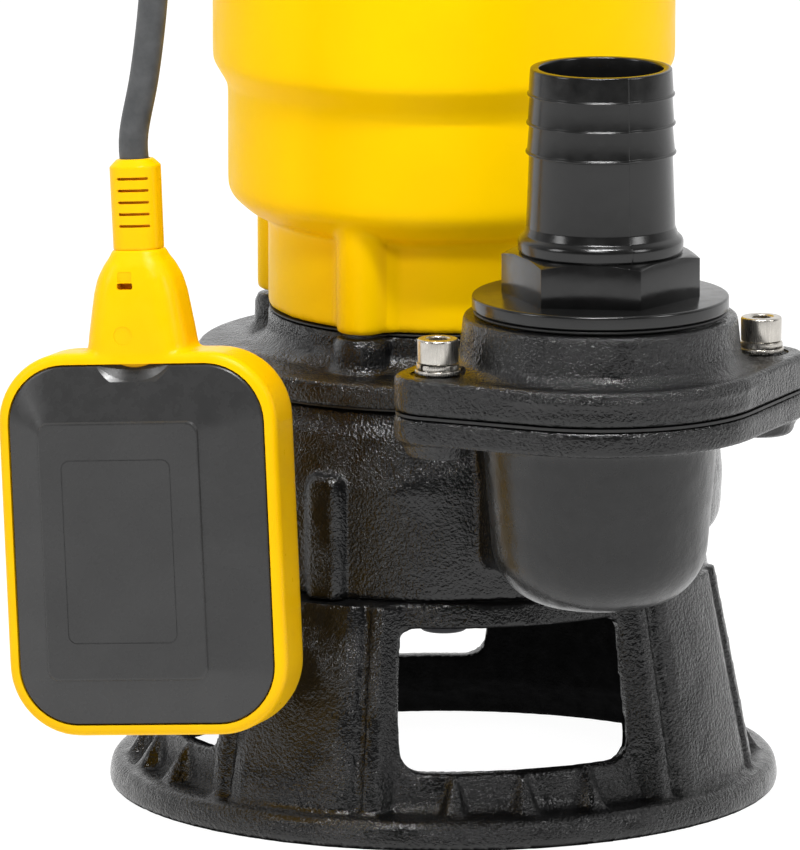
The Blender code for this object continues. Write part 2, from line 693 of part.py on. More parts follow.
def make_glands(pump):
    """Two side-entry glands on the turret. A body, a clamping nut and a rubber sleeve each."""
    for prefix, turn in (("float", FLOAT_GLAND_ANGLE), ("power", POWER_GLAND_ANGLE)):
        place = (0.0, 0.0, GLAND_Z)
        tip = TURRET_R + 24.0
        body = [
            (CABLE_R + GAP, TURRET_R - 8.0),
            (7.0, TURRET_R - 8.0),
            (7.0, TURRET_R + 1.2),
            (10.2, TURRET_R + 1.2),
            (10.2, TURRET_R + 7.0),
            (8.4, TURRET_R + 7.0),
            (8.4, TURRET_R + 15.0),
            (CABLE_R + GAP, TURRET_R + 15.0),
        ]
        nut = [
            (8.7, TURRET_R + 7.3),
            (10.6, TURRET_R + 7.3),
            (10.6, tip - 6.0),
            (8.6, tip),
            (CABLE_R + GAP, tip),
            (CABLE_R + GAP, TURRET_R + 15.3),
            (8.7, TURRET_R + 15.3),
        ]
        for kind, profile in (("gland", body), ("gland_nut", nut)):
            name = f"{prefix}_{kind}"
            mesh = turned(name, profile, SMALL)
            mesh.transform(Matrix.Rotation(radians(90), 4, "Y"))
            add(name, mesh, "black_plastic", pump, place=place, rotation=(0, 0, turn))
    sleeve = [(0.0, TURRET_R + 2.0), (CABLE_R, TURRET_R + 2.0), (CABLE_R, TURRET_R + 20.0), (0.0, TURRET_R + 20.0)]
    mesh = turned("power_gland_plug", sleeve, SMALL)
    mesh.transform(Matrix.Rotation(radians(90), 4, "Y"))
    add("power_gland_plug", mesh, "rubber", pump, place=(0, 0, GLAND_Z), rotation=(0, 0, POWER_GLAND_ANGLE))


def make_handle(pump):
    """A flat bow over the cap, in the plane x = 0."""
    foot = CAP_DECK + 0.5 + GAP
    outer_y, thick = HANDLE_FOOT_Y + 11.0, 7.0
    lift = HANDLE_TOP
    bend = 24.0
    half = []
    half += [(outer_y, foot), (outer_y, foot + 6.0)]
    half += [(HANDLE_FOOT_Y + 4.0, foot + 12.0)]
    half += arc((HANDLE_FOOT_Y + 4.0 - bend, lift - bend), bend, 0, 90, 6)
    inner = [(y, z) for y, z in arc((HANDLE_FOOT_Y + 4.0 - bend, lift - bend), bend - thick, 90, 0, 6)]
    inner += [(HANDLE_FOOT_Y + 4.0 - thick, foot + 7.0), (HANDLE_FOOT_Y - 12.0, foot + 6.0), (HANDLE_FOOT_Y - 12.0, foot)]
    outer_side = half
    outline = outer_side + [(-y, z) for y, z in reversed(outer_side)]
    outline += [(-y, z) for y, z in reversed(inner)] + inner
    rings = [[(x, y, z) for y, z in outline] for x in (-11.0, 11.0)]
    handle = add("handle", lofted("handle", rings), "black_plastic", pump)
    for number, side in enumerate((-1, 1)):
        place = (0.0, HANDLE_FOOT_Y * side)
        cut(handle, disc("hole", 3.3, foot - 5, foot + 20, TINY, place))
        cut(handle, disc("seat", 5.6, foot + 3.5, foot + 25, TINY, place))
        name = f"handle_screw_{('front', 'back')[number]}"
        socket_screw(name, pump, (*place, foot + 3.5 + GAP), (3.0, 10.0), (5.0, 5.0), 5.0)


def make_electrics(pump):
    capacitor = turned("capacitor", [(0, -26), (13, -26), (13, 25), (11, 26), (0, 26)], SMALL)
    capacitor.transform(Matrix.Rotation(radians(90), 4, "Y"))
    add("capacitor", capacitor, "grey_plastic", pump, place=(10, -18, PLATE_Z[1] + GAP + 13.0))
    low, high = (-12.0, 14.0, PLATE_Z[1] + GAP), (14.0, 28.0, 377.0)
    add("terminal_block", block("terminal_block", low, high), "grey_plastic", pump)


# ---------------------------------------------------------------- rotor
def make_rotor(pump):
    rotor = empty("rotor_axis", (0, 0, 0), pump)
    shaft = [
        (0.0, 57.0),
        (5.5, 57.0),
        (5.5, 74.0),
        (7.0, 74.0),
        (7.0, 114.0),
        (SHAFT_R, 114.0),
        (SHAFT_R, 190.0),
        (11.0, 190.0),
        (11.0, 348.0),
        (SHAFT_R, 348.0),
        (SHAFT_R, 363.0),
        (0.0, 363.0),
    ]
    add("motor_shaft", turned("motor_shaft", shaft, SMALL), "steel", rotor)
    low, high = STATOR_Z
    core = [(11.0 + GAP, low), (STATOR_BORE - 0.6, low), (STATOR_BORE - 0.6, high), (11.0 + GAP, high)]
    add("rotor_core", turned("rotor_core", core, MEDIUM), "lamination", rotor)
    make_impeller(rotor)
    spacer = [(7.3, 74.6), (10.0, 74.6), (10.0, 88.7), (7.3, 88.7)]
    add("cutter_spacer", turned("cutter_spacer", spacer, SMALL), "steel", rotor)
    blade = []
    for half in (0, 180):
        arm = [(11.0, -9.0), (30.0, -5.0), (31.0, 3.0), (12.0, 8.0)]
        spin = radians(half)
        blade += [(x * cos(spin) - y * sin(spin), x * sin(spin) + y * cos(spin)) for x, y in arm]
    knife = add("cutter_blade", prism("cutter_blade", blade, 68.4, 73.7), "steel", rotor)
    cut(knife, disc("bore", 5.9, 60.0, 80.0, SMALL))
    nut = add("cutter_nut", prism("cutter_nut", hexagon(19.6), 55.0, 66.0), "stainless", rotor)
    join(nut, disc("nut_face", 11.7, 65.0, 68.1, SMALL))
    join(nut, turned("nut_crown", [(0, 52.4), (8.2, 52.4), (9.6, 55.3), (0, 55.3)], SMALL))
    cut(nut, disc("thread", 5.9, 56.0, 75.0, SMALL))
    ring = [(8.8, 137.0), (14.5, 137.0), (14.5, 143.0 - GAP), (8.8, 143.0 - GAP)]
    ring = [(8.8, 128.0), (9.9, 128.0), (9.9, 137.0), (10.0, 141.0), (10.0, 143.0), (8.8, 143.0)]
    add("lower_seal_ring", turned("lower_seal_ring", ring, SMALL), "carbon", rotor)
    collar = [(8.8, 114.6), (13.5, 114.6), (13.5, 127.7), (8.8, 127.7)]
    add("lower_seal_collar", turned("lower_seal_collar", collar, SMALL), "steel", rotor)
    return rotor


def make_impeller(rotor):
    low, disc_low, disc_high = 89.5, 101.0, 106.0
    profile = [
        (7.3, 89.0),
        (13.0, 89.0),
        (14.0, disc_low - 3.0),
        (20.0, disc_low),
        (56.0, disc_low),
        (56.0, disc_high - 1.5),
        (20.0, disc_high),
        (13.0, 113.5),
        (7.3, 113.5),
    ]
    impeller = add("impeller", turned("impeller", profile, MEDIUM), "cast_iron", rotor)
    vane_count, thickness = 5, 4.0
    for vane in range(vane_count):
        outer, inner = [], []
        for step in range(7):
            share = step / 6
            radius = 13.5 + 42.0 * share
            angle = 360 / vane_count * vane + 62.0 * share
            half = thickness / 2 / radius * 180 / pi
            outer.append(polar(radius, angle + half)[:2])
            inner.append(polar(radius, angle - half)[:2])
        join(impeller, prism("vane", outer + inner[::-1], low, disc_low + 1.0))
    return impeller


# ---------------------------------------------------------------- float switch
def swing_place():
    """The point about which the float swings on its cable, from the pump axis."""
    return polar(SWING_RHO, FLOAT_GLAND_ANGLE, GLAND_Z)


def float_outline(inset, depth):
    outline = rounded_rectangle(FLOAT_W - 2 * inset, FLOAT_H - 2 * inset, FLOAT_CORNER - inset, 5)
    return [(x, depth, z) for x, z in outline]


def make_float(pump):
    hinge = empty("float_hinge", swing_place(), pump)
    middle = Vector((*FLOAT_PLACE, FLOAT_Z)) - Vector(swing_place())
    frame = empty("float_frame", middle, hinge, (FLOAT_PITCH, FLOAT_LEAN, FLOAT_YAW))
    half = 0.5 * FLOAT_T
    shape = [(2.6, -half), (0.8, 0.8 - half), (0.0, 3.0 - half)]
    for step in range(4):
        turn = radians(30 * step)
        shape.append((FLOAT_BACK_R * (1 - cos(turn)), half - FLOAT_BACK_R * (1 - sin(turn))))
    shell = add("float_shell", lofted("float_shell", [float_outline(*step) for step in shape]), "yellow_plastic", frame)
    neck = [(50.0, 18.6, 13.0), (66.0, 18.0, 12.6), (84.0, 15.4, 11.6), (91.0, 12.8, 10.6), (NECK_END_Z, 8.3, 8.3)]
    rings = []
    for z, across, deep in neck:
        ring = rounded_rectangle(2 * across, 2 * deep, 0.7 * deep, 3)
        rings.append([(x, y + NECK_Y, z) for x, y in ring])
    join(shell, lofted("neck", rings))
    seat_depth, floor = 3.0 - half, half - 3.5
    cut(shell, lofted("seat", [float_outline(COVER_INSET, -half - 5), float_outline(COVER_INSET, seat_depth)]))
    cut(shell, lofted("hollow", [float_outline(7.0, -half - 5), float_outline(7.0, floor)]))
    cut(shell, disc("cable_way", CABLE_R + GAP, 50.0, 140.0, SMALL, (0.0, NECK_Y)))
    for side in (-1, 1):
        wall_x = sorted((side * (BALL_R + 0.8), side * (BALL_R + 2.8)))
        join(shell, block("guide", (wall_x[0], -10.0, -21.0), (wall_x[1], floor + 1.0, 0.0)))
    join(shell, block("stop", (-11.0, -10.0, -21.0), (11.0, floor + 1.0, BALL_Z - BALL_R - GAP)))
    join(shell, block("lever_post", (-19.0, 3.0 + GAP, 3.0), (-13.0, floor + 1.0, 9.0)))
    make_float_cover(frame, seat_depth)
    make_boot(frame)
    ball_guide = empty("ball_guide", (0, 0, BALL_Z), frame)
    ball = bmesh.new()
    bmesh.ops.create_uvsphere(ball, u_segments=SMALL, v_segments=8, radius=BALL_R * MM)
    add("float_ball", mesh_from(ball, "float_ball"), "steel", ball_guide)
    make_switch(frame)
    return frame


def make_float_cover(frame, seat_depth):
    back = seat_depth - GAP
    face = back - 2.9
    border = COVER_INSET + GAP
    steps = [(border, back), (border, face + 0.8), (border + 0.8, face), (10.5, face)]
    rings = [float_outline(*step) for step in steps]
    raised = rounded_rectangle(57.5, 87.0, 4.0, 5)
    rings.append([(x - 5.0, face - 2.2, z) for x, z in raised])
    add("float_cover", lofted("float_cover", rings), "grey_plastic", frame)


def make_boot(frame):
    low = NECK_END_Z + GAP
    sections = [(low, 8.2, 8.2), (low + 24.0, 7.4, 7.4), (low + 27.0, 6.0, 6.0), (BOOT_TOP_Z, 5.7, 5.7)]
    rings = []
    for z, across, deep in sections:
        ring = rounded_rectangle(2 * across, 2 * deep, 0.98 * deep, 4)
        rings.append([(x, y + NECK_Y, z) for x, y in ring])
    boot = add("float_boot", lofted("float_boot", rings), "yellow_plastic", frame)
    cut(boot, disc("bore", CABLE_R + GAP, low - 5, BOOT_TOP_Z + 5, SMALL, (0.0, NECK_Y)))


def make_switch(frame):
    pivot = empty("lever_pivot", LEVER_PIVOT, frame)
    arm = [(-2.0, -1.2), (20.0, -4.4), (20.0, -3.2), (-2.0, 1.2)]
    rings = [[(x, y, z) for x, z in arm] for y in (-3.0, 3.0)]
    add("switch_lever", lofted("switch_lever", rings), "steel", pivot)
    low, high = (-14.0, -5.0, 14.0), (14.0, 0.5 * FLOAT_T - 3.5 - GAP, 26.0)
    add("microswitch", block("microswitch", low, high), "black_plastic", frame)


# ---------------------------------------------------------------- float cable
def smooth_route(points, spacing):
    """Evenly spaced points on a Catmull-Rom curve through the given points."""
    padded = [2 * points[0] - points[1], *points, 2 * points[-1] - points[-2]]
    dense = []
    for a, b, c, d in zip(padded, padded[1:], padded[2:], padded[3:]):
        for step in range(16):
            t = step / 16
            dense.append(0.5 * (2 * b + (c - a) * t + (2 * a - 5 * b + 4 * c - d) * t * t
                                + (3 * b - a - 3 * c + d) * t ** 3))
    dense.append(points[-1])
    lengths = [0.0]
    for a, b in zip(dense, dense[1:]):
        lengths.append(lengths[-1] + (b - a).length)
    count = max(2, round(lengths[-1] / spacing))
    found, index = [], 0
    for step in range(count + 1):
        wanted = lengths[-1] * step / count
        while index < len(dense) - 2 and lengths[index + 1] < wanted:
            index += 1
        span = lengths[index + 1] - lengths[index]
        found.append(dense[index].lerp(dense[index + 1], (wanted - lengths[index]) / span))
    return found


def tube(name, points, parent):
    curve = bpy.data.curves.new(name, "CURVE")
    curve.dimensions = "3D"
    curve.bevel_depth = CABLE_R * MM
    curve.bevel_resolution = 2
    curve.use_fill_caps = True
    spline = curve.splines.new("POLY")
    spline.points.add(len(points) - 1)
    origin = Vector(parent_place(parent))
    for knot, point in zip(spline.points, points):
        knot.co = (*((point - origin) * MM), 1.0)
    obj = bpy.data.objects.new(name, curve)
    curve.materials.append(material("cable_rubber"))
    obj.parent = parent
    bpy.context.collection.objects.link(obj)


def parent_place(parent):
    return swing_place() if parent.name == "float_hinge" else (0.0, 0.0, 0.0)


def boot_mouth(z):
    """A point on the float's own cable axis, from the pump axis."""
    turn = Euler((radians(FLOAT_PITCH), radians(FLOAT_LEAN), radians(FLOAT_YAW))).to_matrix()
    return Vector((*FLOAT_PLACE, FLOAT_Z)) + turn @ Vector((0, NECK_Y, z))


def make_cable(pump):
    """The cable leaves its gland level, turns down in one bend and hangs to the float."""
    ahead = Vector(polar(1.0, FLOAT_GLAND_ANGLE))
    inside = TURRET_R + 17.0
    bend_rho = SWING_RHO - CABLE_BEND
    lead = [ahead * rho + Vector((0, 0, GLAND_Z)) for rho in (inside, 0.5 * (inside + bend_rho), bend_rho)]
    for step in range(1, 6):
        angle = radians(18 * step)
        rho = bend_rho + CABLE_BEND * sin(angle)
        lead.append(ahead * rho + Vector((0, 0, GLAND_Z - CABLE_BEND * (1 - cos(angle)))))
    inner_end, straight_end = NECK_END_Z - 12.0, BOOT_TOP_Z + 12.0
    mouth = [boot_mouth(straight_end + (inner_end - straight_end) * step / 4) for step in range(5)]
    hang = [lead[-1] + Vector((0, 0, -1.5))]
    hang.append(lead[-1] + Vector((0, 0, -16.0)))
    hang += [Vector(point) for point in CABLE_HANG]
    hang += mouth
    spacing = 4.4 * CABLE_R
    tube("float_cable_lead", smooth_route(lead, spacing), pump)
    tube("float_cable_drop", smooth_route(hang, spacing), bpy.data.objects["float_hinge"])


# ---------------------------------------------------------------- assembly
def main():
    clear_scene()
    pump = empty("pump_axis", (PUMP_X, PUMP_Y, 0.0))
    make_base(pump)
    make_suction_plate(pump)
    make_volute(pump)
    make_discharge(pump)
    make_seal_chamber(pump)
    make_housing(pump)
    make_stator(pump)
    rotor = make_rotor(pump)
    bearing(pump, rotor, "lower", LOWER_BEARING_Z)
    bearing(pump, rotor, "upper", UPPER_BEARING_Z)
    make_bearing_plate(pump)
    make_cap(pump)
    make_glands(pump)
    make_handle(pump)
    make_electrics(pump)
    make_float(pump)
    make_cable(pump)


main()
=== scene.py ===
"""The looks of a submersible sump pump with a hose barb and a tethered float switch.

Lengths in the shape code are millimetres from the pump's axis, and Z is the height above the floor.
place() turns them into metres in the row frame. The float's shapes are in its own frame:
X across, -Y to its front and Z up to its cable.
"""

import json
from math import asin, atan2, cos, hypot, pi, radians, sin, tau

import bmesh
import bpy
import numpy as np
from mathutils import Euler, Matrix, Vector


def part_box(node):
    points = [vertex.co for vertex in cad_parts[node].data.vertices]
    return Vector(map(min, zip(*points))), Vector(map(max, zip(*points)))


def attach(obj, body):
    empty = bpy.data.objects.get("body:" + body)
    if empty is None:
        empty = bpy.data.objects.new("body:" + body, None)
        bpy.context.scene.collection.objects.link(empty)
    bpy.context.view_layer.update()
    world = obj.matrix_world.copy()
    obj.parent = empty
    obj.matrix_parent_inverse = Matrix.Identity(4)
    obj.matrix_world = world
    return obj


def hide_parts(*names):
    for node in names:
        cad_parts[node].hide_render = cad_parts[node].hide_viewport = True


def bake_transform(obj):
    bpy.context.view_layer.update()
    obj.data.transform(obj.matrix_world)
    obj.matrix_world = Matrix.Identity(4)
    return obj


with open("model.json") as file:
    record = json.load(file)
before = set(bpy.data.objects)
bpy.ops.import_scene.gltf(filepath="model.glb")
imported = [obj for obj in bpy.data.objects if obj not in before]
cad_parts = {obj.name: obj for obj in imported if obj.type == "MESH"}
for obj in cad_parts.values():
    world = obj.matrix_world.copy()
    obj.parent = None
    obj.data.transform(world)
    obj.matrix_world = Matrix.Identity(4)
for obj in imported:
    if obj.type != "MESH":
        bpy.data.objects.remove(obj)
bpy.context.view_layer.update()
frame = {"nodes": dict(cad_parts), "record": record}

MM = 0.001

# Places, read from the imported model
HOUSING_LOW, HOUSING_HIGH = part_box("motor_housing")
BARB_LOW, BARB_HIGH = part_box("hose_barb")
PUMP_X = 500 * (HOUSING_LOW.x + HOUSING_HIGH.x)
PUMP_Y = 500 * (HOUSING_LOW.y + HOUSING_HIGH.y)
OUTLET_L = PUMP_Y - 500 * (BARB_LOW.y + BARB_HIGH.y)

# Strainer base
BASE_R, BASE_H = 115, 80
SHELF_Z = 10.5
CONE_FOOT_R, CONE_FOOT_Z, CONE_TOP_R = 101, 14, 90
BASE_WALL = 6.5
BASE_EYE_R = 52
WINDOW_ANGLE, WINDOW_HALF_W, WINDOW_Z, WINDOW_CORNER = -95, 39.7, (23.5, 71.5), 7
PILLAR_FOOT_R, PILLAR_TOP_R = 109.5, 95.5

# Casing, elbow and flanges
CASING_Z, CASING_R, CASING_TOP = 80.3, 88.5, 143.5
COLUMN_ANGLES, COLUMN_CIRCLE_R = (-137, -47, 43, 133), 62
POT_R, POT_BOTTOM = 36.5, 89
FLANGE_R, EAR_R, EAR_X = 55, 14.5, 57.4
LOWER_FLANGE_Z, UPPER_FLANGE_Z = (150, 158.8), (160, 172)
NECK_R = 60

# Motor
HOUSING_Z, HOUSING_TOP = 166.6, 370
DRUM_LOW_R, DRUM_R = 73.7, 79
CAP_Z, CAP_TOP, CAP_DECK, TURRET_R = 371.4, 425, 400, 46
HANDLE_FOOT_Y, HANDLE_TOP = 62, 454
GLAND_Z, FLOAT_GLAND_ANGLE, POWER_GLAND_ANGLE = 411, -154.5, 154.5

# Float switch
FLOAT_W, FLOAT_H, FLOAT_T, FLOAT_CORNER, FLOAT_BACK_R = 96.7, 129, 34, 24, 14
FLOAT_PLACE = Vector((-125.5, -59.4, 104.4))
FLOAT_PITCH, FLOAT_LEAN, FLOAT_YAW = -4.2, -3.7, -35.2
SEAT_INSET, COVER_INSET = 3.7, 4.2
NECK_Y, NECK_END_Z, BOOT_TOP_Z = -3.5, 98.5, 128.5

# Float cable
CABLE_R, CABLE_BEND, SWING_RHO = 4.9, 50, 135
CABLE_HANG = ((-122.7, -56.8, 318), (-123.9, -54.6, 286), (-126, -51.8, 261))

# Camera: from the pump axis, in millimetres and degrees
CAMERA_AZIMUTH, CAMERA_DISTANCE, CAMERA_HEIGHT = -20.5, 4230, 945
AIM_LEFT, AIM_Z, LENS = 15, 124, 532.4
FLOOR_REACH = 30e3


# ---- plain geometry
def polar(radius, angle, z=0):
    return Vector((radius * cos(radians(angle)), radius * sin(radians(angle)), z))


def arc(middle, radius, start, end, steps):
    found = []
    for step in range(steps + 1):
        angle = radians(start + (end - start) * step / steps)
        found.append((middle[0] + radius * cos(angle), middle[1] + radius * sin(angle)))
    return found


def soft(corners, steps=5):
    """A closed outline of (x, y, radius) with each corner rounded by about its radius."""
    found = []
    count = len(corners)
    for index, (x, y, radius) in enumerate(corners):
        corner = Vector((x, y))
        if radius <= 0:
            found.append((x, y))
            continue
        before = Vector(corners[index - 1][:2]) - corner
        after = Vector(corners[(index + 1) % count][:2]) - corner
        reach = radius / max(0.15, abs(np.tan(before.angle(after) / 2)))
        start = corner + before.normalized() * min(reach, 0.49 * before.length)
        end = corner + after.normalized() * min(reach, 0.49 * after.length)
        for step in range(steps + 1):
            t = step / steps
            point = start * (1 - t) ** 2 + corner * 2 * t * (1 - t) + end * t * t
            found.append((point.x, point.y))
    return found


def rounded_rectangle(width, height, corner, steps=8):
    across, up = 0.5 * width - corner, 0.5 * height - corner
    outline = []
    corners = ((across, up), (-across, up), (-across, -up), (across, -up))
    for quarter, middle in enumerate(corners):
        outline += arc(middle, corner, 90 * quarter, 90 * quarter + 90, steps)
    return outline


def hexagon(across_flats, turn=0):
    radius = across_flats / cos(pi / 6) / 2
    return [tuple(polar(radius, turn + 60 * step).xy) for step in range(6)]


def circle(radius, segments=48, middle=(0, 0)):
    steps = [tau * step / segments for step in range(segments)]
    return [(middle[0] + radius * cos(a), middle[1] + radius * sin(a)) for a in steps]


# ---- bmesh solids, in millimetres
def closed(bm):
    bmesh.ops.remove_doubles(bm, verts=bm.verts, dist=1e-4)
    bmesh.ops.recalc_face_normals(bm, faces=bm.faces)
    return bm


def turned(profile, segments=192, angles=None):
    """A solid of revolution about Z from a closed outline of (radius, z)."""
    bm = bmesh.new()
    angles = angles or [360 * step / segments for step in range(segments)]
    count = len(angles)
    rings = []
    for radius, z in profile:
        if radius < 1e-6:
            rings.append([bm.verts.new((0, 0, z))] * count)
        else:
            rings.append([bm.verts.new(polar(radius, angle, z)) for angle in angles])
    for index, lower in enumerate(rings):
        upper = rings[(index + 1) % len(rings)]
        for step in range(count):
            after = (step + 1) % count
            corners = list(dict.fromkeys((lower[step], lower[after], upper[after], upper[step])))
            if len(corners) > 2:
                bm.faces.new(corners)
    return closed(bm)


def lofted(rings, caps=True):
    bm = bmesh.new()
    loops = [[bm.verts.new(point) for point in ring] for ring in rings]
    for lower, upper in zip(loops, loops[1:]):
        for step in range(len(lower)):
            after = (step + 1) % len(lower)
            bm.faces.new((lower[step], lower[after], upper[after], upper[step]))
    if caps:
        bm.faces.new(list(reversed(loops[0])))
        bm.faces.new(loops[-1])
    return closed(bm)


def prism(outline, low, high):
    return lofted([[(x, y, low) for x, y in outline], [(x, y, high) for x, y in outline]])


def plate(outline, low, high, edge=1, steps=4):
    """A prism whose upper and lower edges are rounded: the outline shrinks towards both faces."""
    middle = Vector((sum(p[0] for p in outline), sum(p[1] for p in outline))) / len(outline)
    rings = []
    for face, sign in ((low, 1), (high, -1)):
        turn = [90 * step / steps for step in range(steps + 1)]
        for angle in turn if sign > 0 else reversed(turn):
            inset = edge * (1 - sin(radians(angle)))
            z = face + sign * edge * (1 - cos(radians(angle)))
            rings.append([(*inward(p, middle, inset), z) for p in outline])
    return lofted(rings)


def inward(point, middle, inset):
    away = Vector(point) - middle
    moved = middle + away * (1 - inset / max(away.length, 1e-6))
    return (moved.x, moved.y)


def sector(low_r, high_r, start, end, z, steps=10):
    outer = [(x, y, z) for x, y in arc((0, 0), high_r, start, end, steps)]
    inner = [(x, y, z) for x, y in arc((0, 0), low_r, end, start, steps)]
    return outer + inner


def moved(bm, place=(0, 0, 0), rotation=(0, 0, 0)):
    turn = Matrix.Rotation(radians(rotation[2]), 4, "Z") @ Matrix.Rotation(radians(rotation[1]), 4, "Y")
    turn = turn @ Matrix.Rotation(radians(rotation[0]), 4, "X")
    bm.transform(Matrix.Translation(place) @ turn)
    return bm


def mesh_of(name, parts):
    """One mesh from bmesh solids, still in millimetres. Its parts may overlap."""
    mesh = bpy.data.meshes.new(name)
    whole = bmesh.new()
    for part in parts:
        part.to_mesh(mesh)
        whole.from_mesh(mesh)
        part.free()
    whole.to_mesh(mesh)
    whole.free()
    return mesh


def drill(radius, low, high, at=(0, 0), segments=32):
    return prism(circle(radius, segments, at), low, high)


def taken(obj):
    """An object's mesh as a bmesh. The object goes."""
    bm = bmesh.new()
    bm.from_mesh(obj.data)
    bpy.data.objects.remove(obj)
    return bm


# ---- finishing meshes
def applied(obj):
    """Replaces an object's mesh with what its modifiers make of it."""
    graph = bpy.context.evaluated_depsgraph_get()
    mesh = bpy.data.meshes.new_from_object(obj.evaluated_get(graph))
    obj.modifiers.clear()
    obj.data = mesh
    return obj


def scratch(name, parts):
    obj = bpy.data.objects.new(name, mesh_of(name, parts))
    bpy.context.collection.objects.link(obj)
    return obj


def boolean(obj, parts, operation="DIFFERENCE", solver="EXACT"):
    for part in parts:
        tool = scratch("tool", [part])
        modifier = obj.modifiers.new("boolean", "BOOLEAN")
        modifier.operation = operation
        modifier.object = tool
        modifier.solver = solver
        applied(obj)
        bpy.data.objects.remove(tool)
    return obj


def fused(obj, voxel, rounds):
    """The union of the parts, with its edges rounded as a casting's or moulding's are."""
    modifier = obj.modifiers.new("union", "REMESH")
    modifier.mode = "VOXEL"
    modifier.voxel_size = voxel
    relax = obj.modifiers.new("relax", "SMOOTH")
    relax.factor, relax.iterations = 0.5, rounds
    return applied(obj)


def cast(name, parts, voxel, rounds, cutters):
    """A fused piece with its hollows and holes cut crisply."""
    return boolean(fused(scratch(name, parts), voxel, rounds), cutters, solver="MANIFOLD")


def place(obj, finish, node, home="pump", body=None, sharp=40):
    """Puts a finished piece on its body. Its mesh goes from millimetres to the row frame."""
    at_pump = Matrix.Translation((PUMP_X, PUMP_Y, 0))
    homes = {"pump": at_pump, "float": at_pump @ FLOAT_TURN}
    homes["outlet"] = at_pump @ Matrix.Translation((0, -OUTLET_L, 0))
    obj.data.transform(Matrix.Scale(MM, 4) @ homes[home])
    obj.data.shade_smooth()
    obj.data.set_sharp_from_angle(angle=radians(sharp))
    obj.data.materials.clear()
    obj.data.materials.append(finish)
    if body is None:
        body = "float" if home == "float" else "pump"
    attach(obj, body)
    if node:
        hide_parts(node)
    return obj


def piece(name, parts, finish, node, **placing):
    return place(scratch(name, parts), finish, node, **placing)


SLOTS = {entry["node"]: entry["material_slot"] for entry in frame["record"]["subparts"]}
FLOAT_TILT = Euler((radians(FLOAT_PITCH), radians(FLOAT_LEAN), radians(FLOAT_YAW)))
FLOAT_TURN = Matrix.Translation(FLOAT_PLACE) @ FLOAT_TILT.to_matrix().to_4x4()


# ---- materials
class Nodes:
    """A short way to write a node tree."""

    def __init__(self, name, owner=None):
        self.material = owner or bpy.data.materials.new(name)
        self.material.use_nodes = True
        self.tree = self.material.node_tree
        self.shader = self.tree.nodes.get("Principled BSDF")
        self.coordinates = self.node("ShaderNodeTexCoord").outputs
        self.where = self.coordinates["Object"]

    def node(self, kind, inputs=None, **settings):
        made = self.tree.nodes.new(kind)
        for key, value in settings.items():
            setattr(made, key, value)
        for key, value in (inputs or {}).items():
            self.feed(value, made.inputs[key])
        return made

    def feed(self, value, socket):
        """A socket takes a number, a colour or the output of another node."""
        if isinstance(value, bpy.types.NodeSocket):
            self.tree.links.new(value, socket)
        else:
            socket.default_value = (*value, 1) if isinstance(value, tuple) else value

    def noise(self, size_mm, detail=2, rough=0.5, stretch=None):
        """Noise whose blobs are about size_mm across."""
        where = self.where
        if stretch:
            mapping = self.node("ShaderNodeMapping", {"Vector": where, "Scale": Vector(stretch)})
            where = mapping.outputs["Vector"]
        inputs = {"Vector": where, "Scale": 1 / (size_mm * MM), "Detail": detail, "Roughness": rough}
        return self.node("ShaderNodeTexNoise", inputs).outputs["Fac"]

    def math(self, operation, a, b=0):
        return self.node("ShaderNodeMath", {0: a, 1: b}, operation=operation).outputs[0]

    def between(self, source, low, high, source_low=0, source_high=1):
        ends = {"From Min": source_low, "From Max": source_high, "To Min": low, "To Max": high}
        return self.node("ShaderNodeMapRange", {"Value": source, **ends}).outputs["Result"]

    def colours(self, source, stops):
        made = self.node("ShaderNodeValToRGB", {"Fac": source})
        for element, (position, colour) in zip(made.color_ramp.elements, stops):
            element.position = position
            element.color = (*colour, 1)
        return made.outputs["Color"]

    def vary(self, source, low, high):
        return self.between(source, low, high, 0.3, 0.7)

    def tint(self, source, dark, light):
        return self.colours(source, ((0.3, dark), (0.7, light)))

    def bump(self, height, depth_mm, normal=None, strength=1):
        inputs = {"Height": height, "Distance": depth_mm * MM, "Strength": strength}
        if normal:
            inputs["Normal"] = normal
        return self.node("ShaderNodeBump", inputs).outputs["Normal"]

    def finish(self, normal=None, **values):
        for key, value in values.items():
            label = key.replace("_", " ").title().replace("Ior", "IOR")
            self.feed(value, self.shader.inputs[label])
        if normal:
            self.feed(normal, self.shader.inputs["Normal"])
        return self.material


def grey(level):
    return (level, level, level)


def cast_enamel():
    """Glossy black enamel over sand-cast iron: a sharp sparkling grain on broad waves.

    The calm attribute marks surfaces that were filled and lie smooth. A second attribute marks the
    inward- and downward-facing faces of the base, where the roughness is raised and the reflection is
    switched off: painted shade.
    """
    n = Nodes("cast_enamel")
    calm = n.node("ShaderNodeAttribute", attribute_name="calm").outputs["Fac"]
    painted_shade = n.node("ShaderNodeAttribute", attribute_name="painted_shade").outputs["Fac"]
    lively = n.math("SUBTRACT", 1, calm)
    patches = n.between(n.noise(17, 2), 0.4, 1, 0.38, 0.6)
    waves = n.bump(n.noise(12, 2), 0.7)
    grain = n.bump(n.noise(1.15, 2, 0.6), 1, waves, n.math("MULTIPLY", lively, patches))
    tint = n.tint(n.noise(5, 4, 0.65), grey(0.003), (0.006, 0.006, 0.0062))
    sheen = n.vary(n.noise(6, 3), 0.08, 0.17)
    roughness = n.math("ADD", sheen, n.math("MULTIPLY", calm, 0.18))
    # Painted shade: the marked inward and downward faces of the base turn dull and lose their reflection.
    roughness = n.math("ADD", roughness, n.math("MULTIPLY", painted_shade, 0.5))
    level = n.between(painted_shade, 0.5, 0)
    return n.finish(grain, base_color=tint, roughness=roughness, specular_ior_level=level)


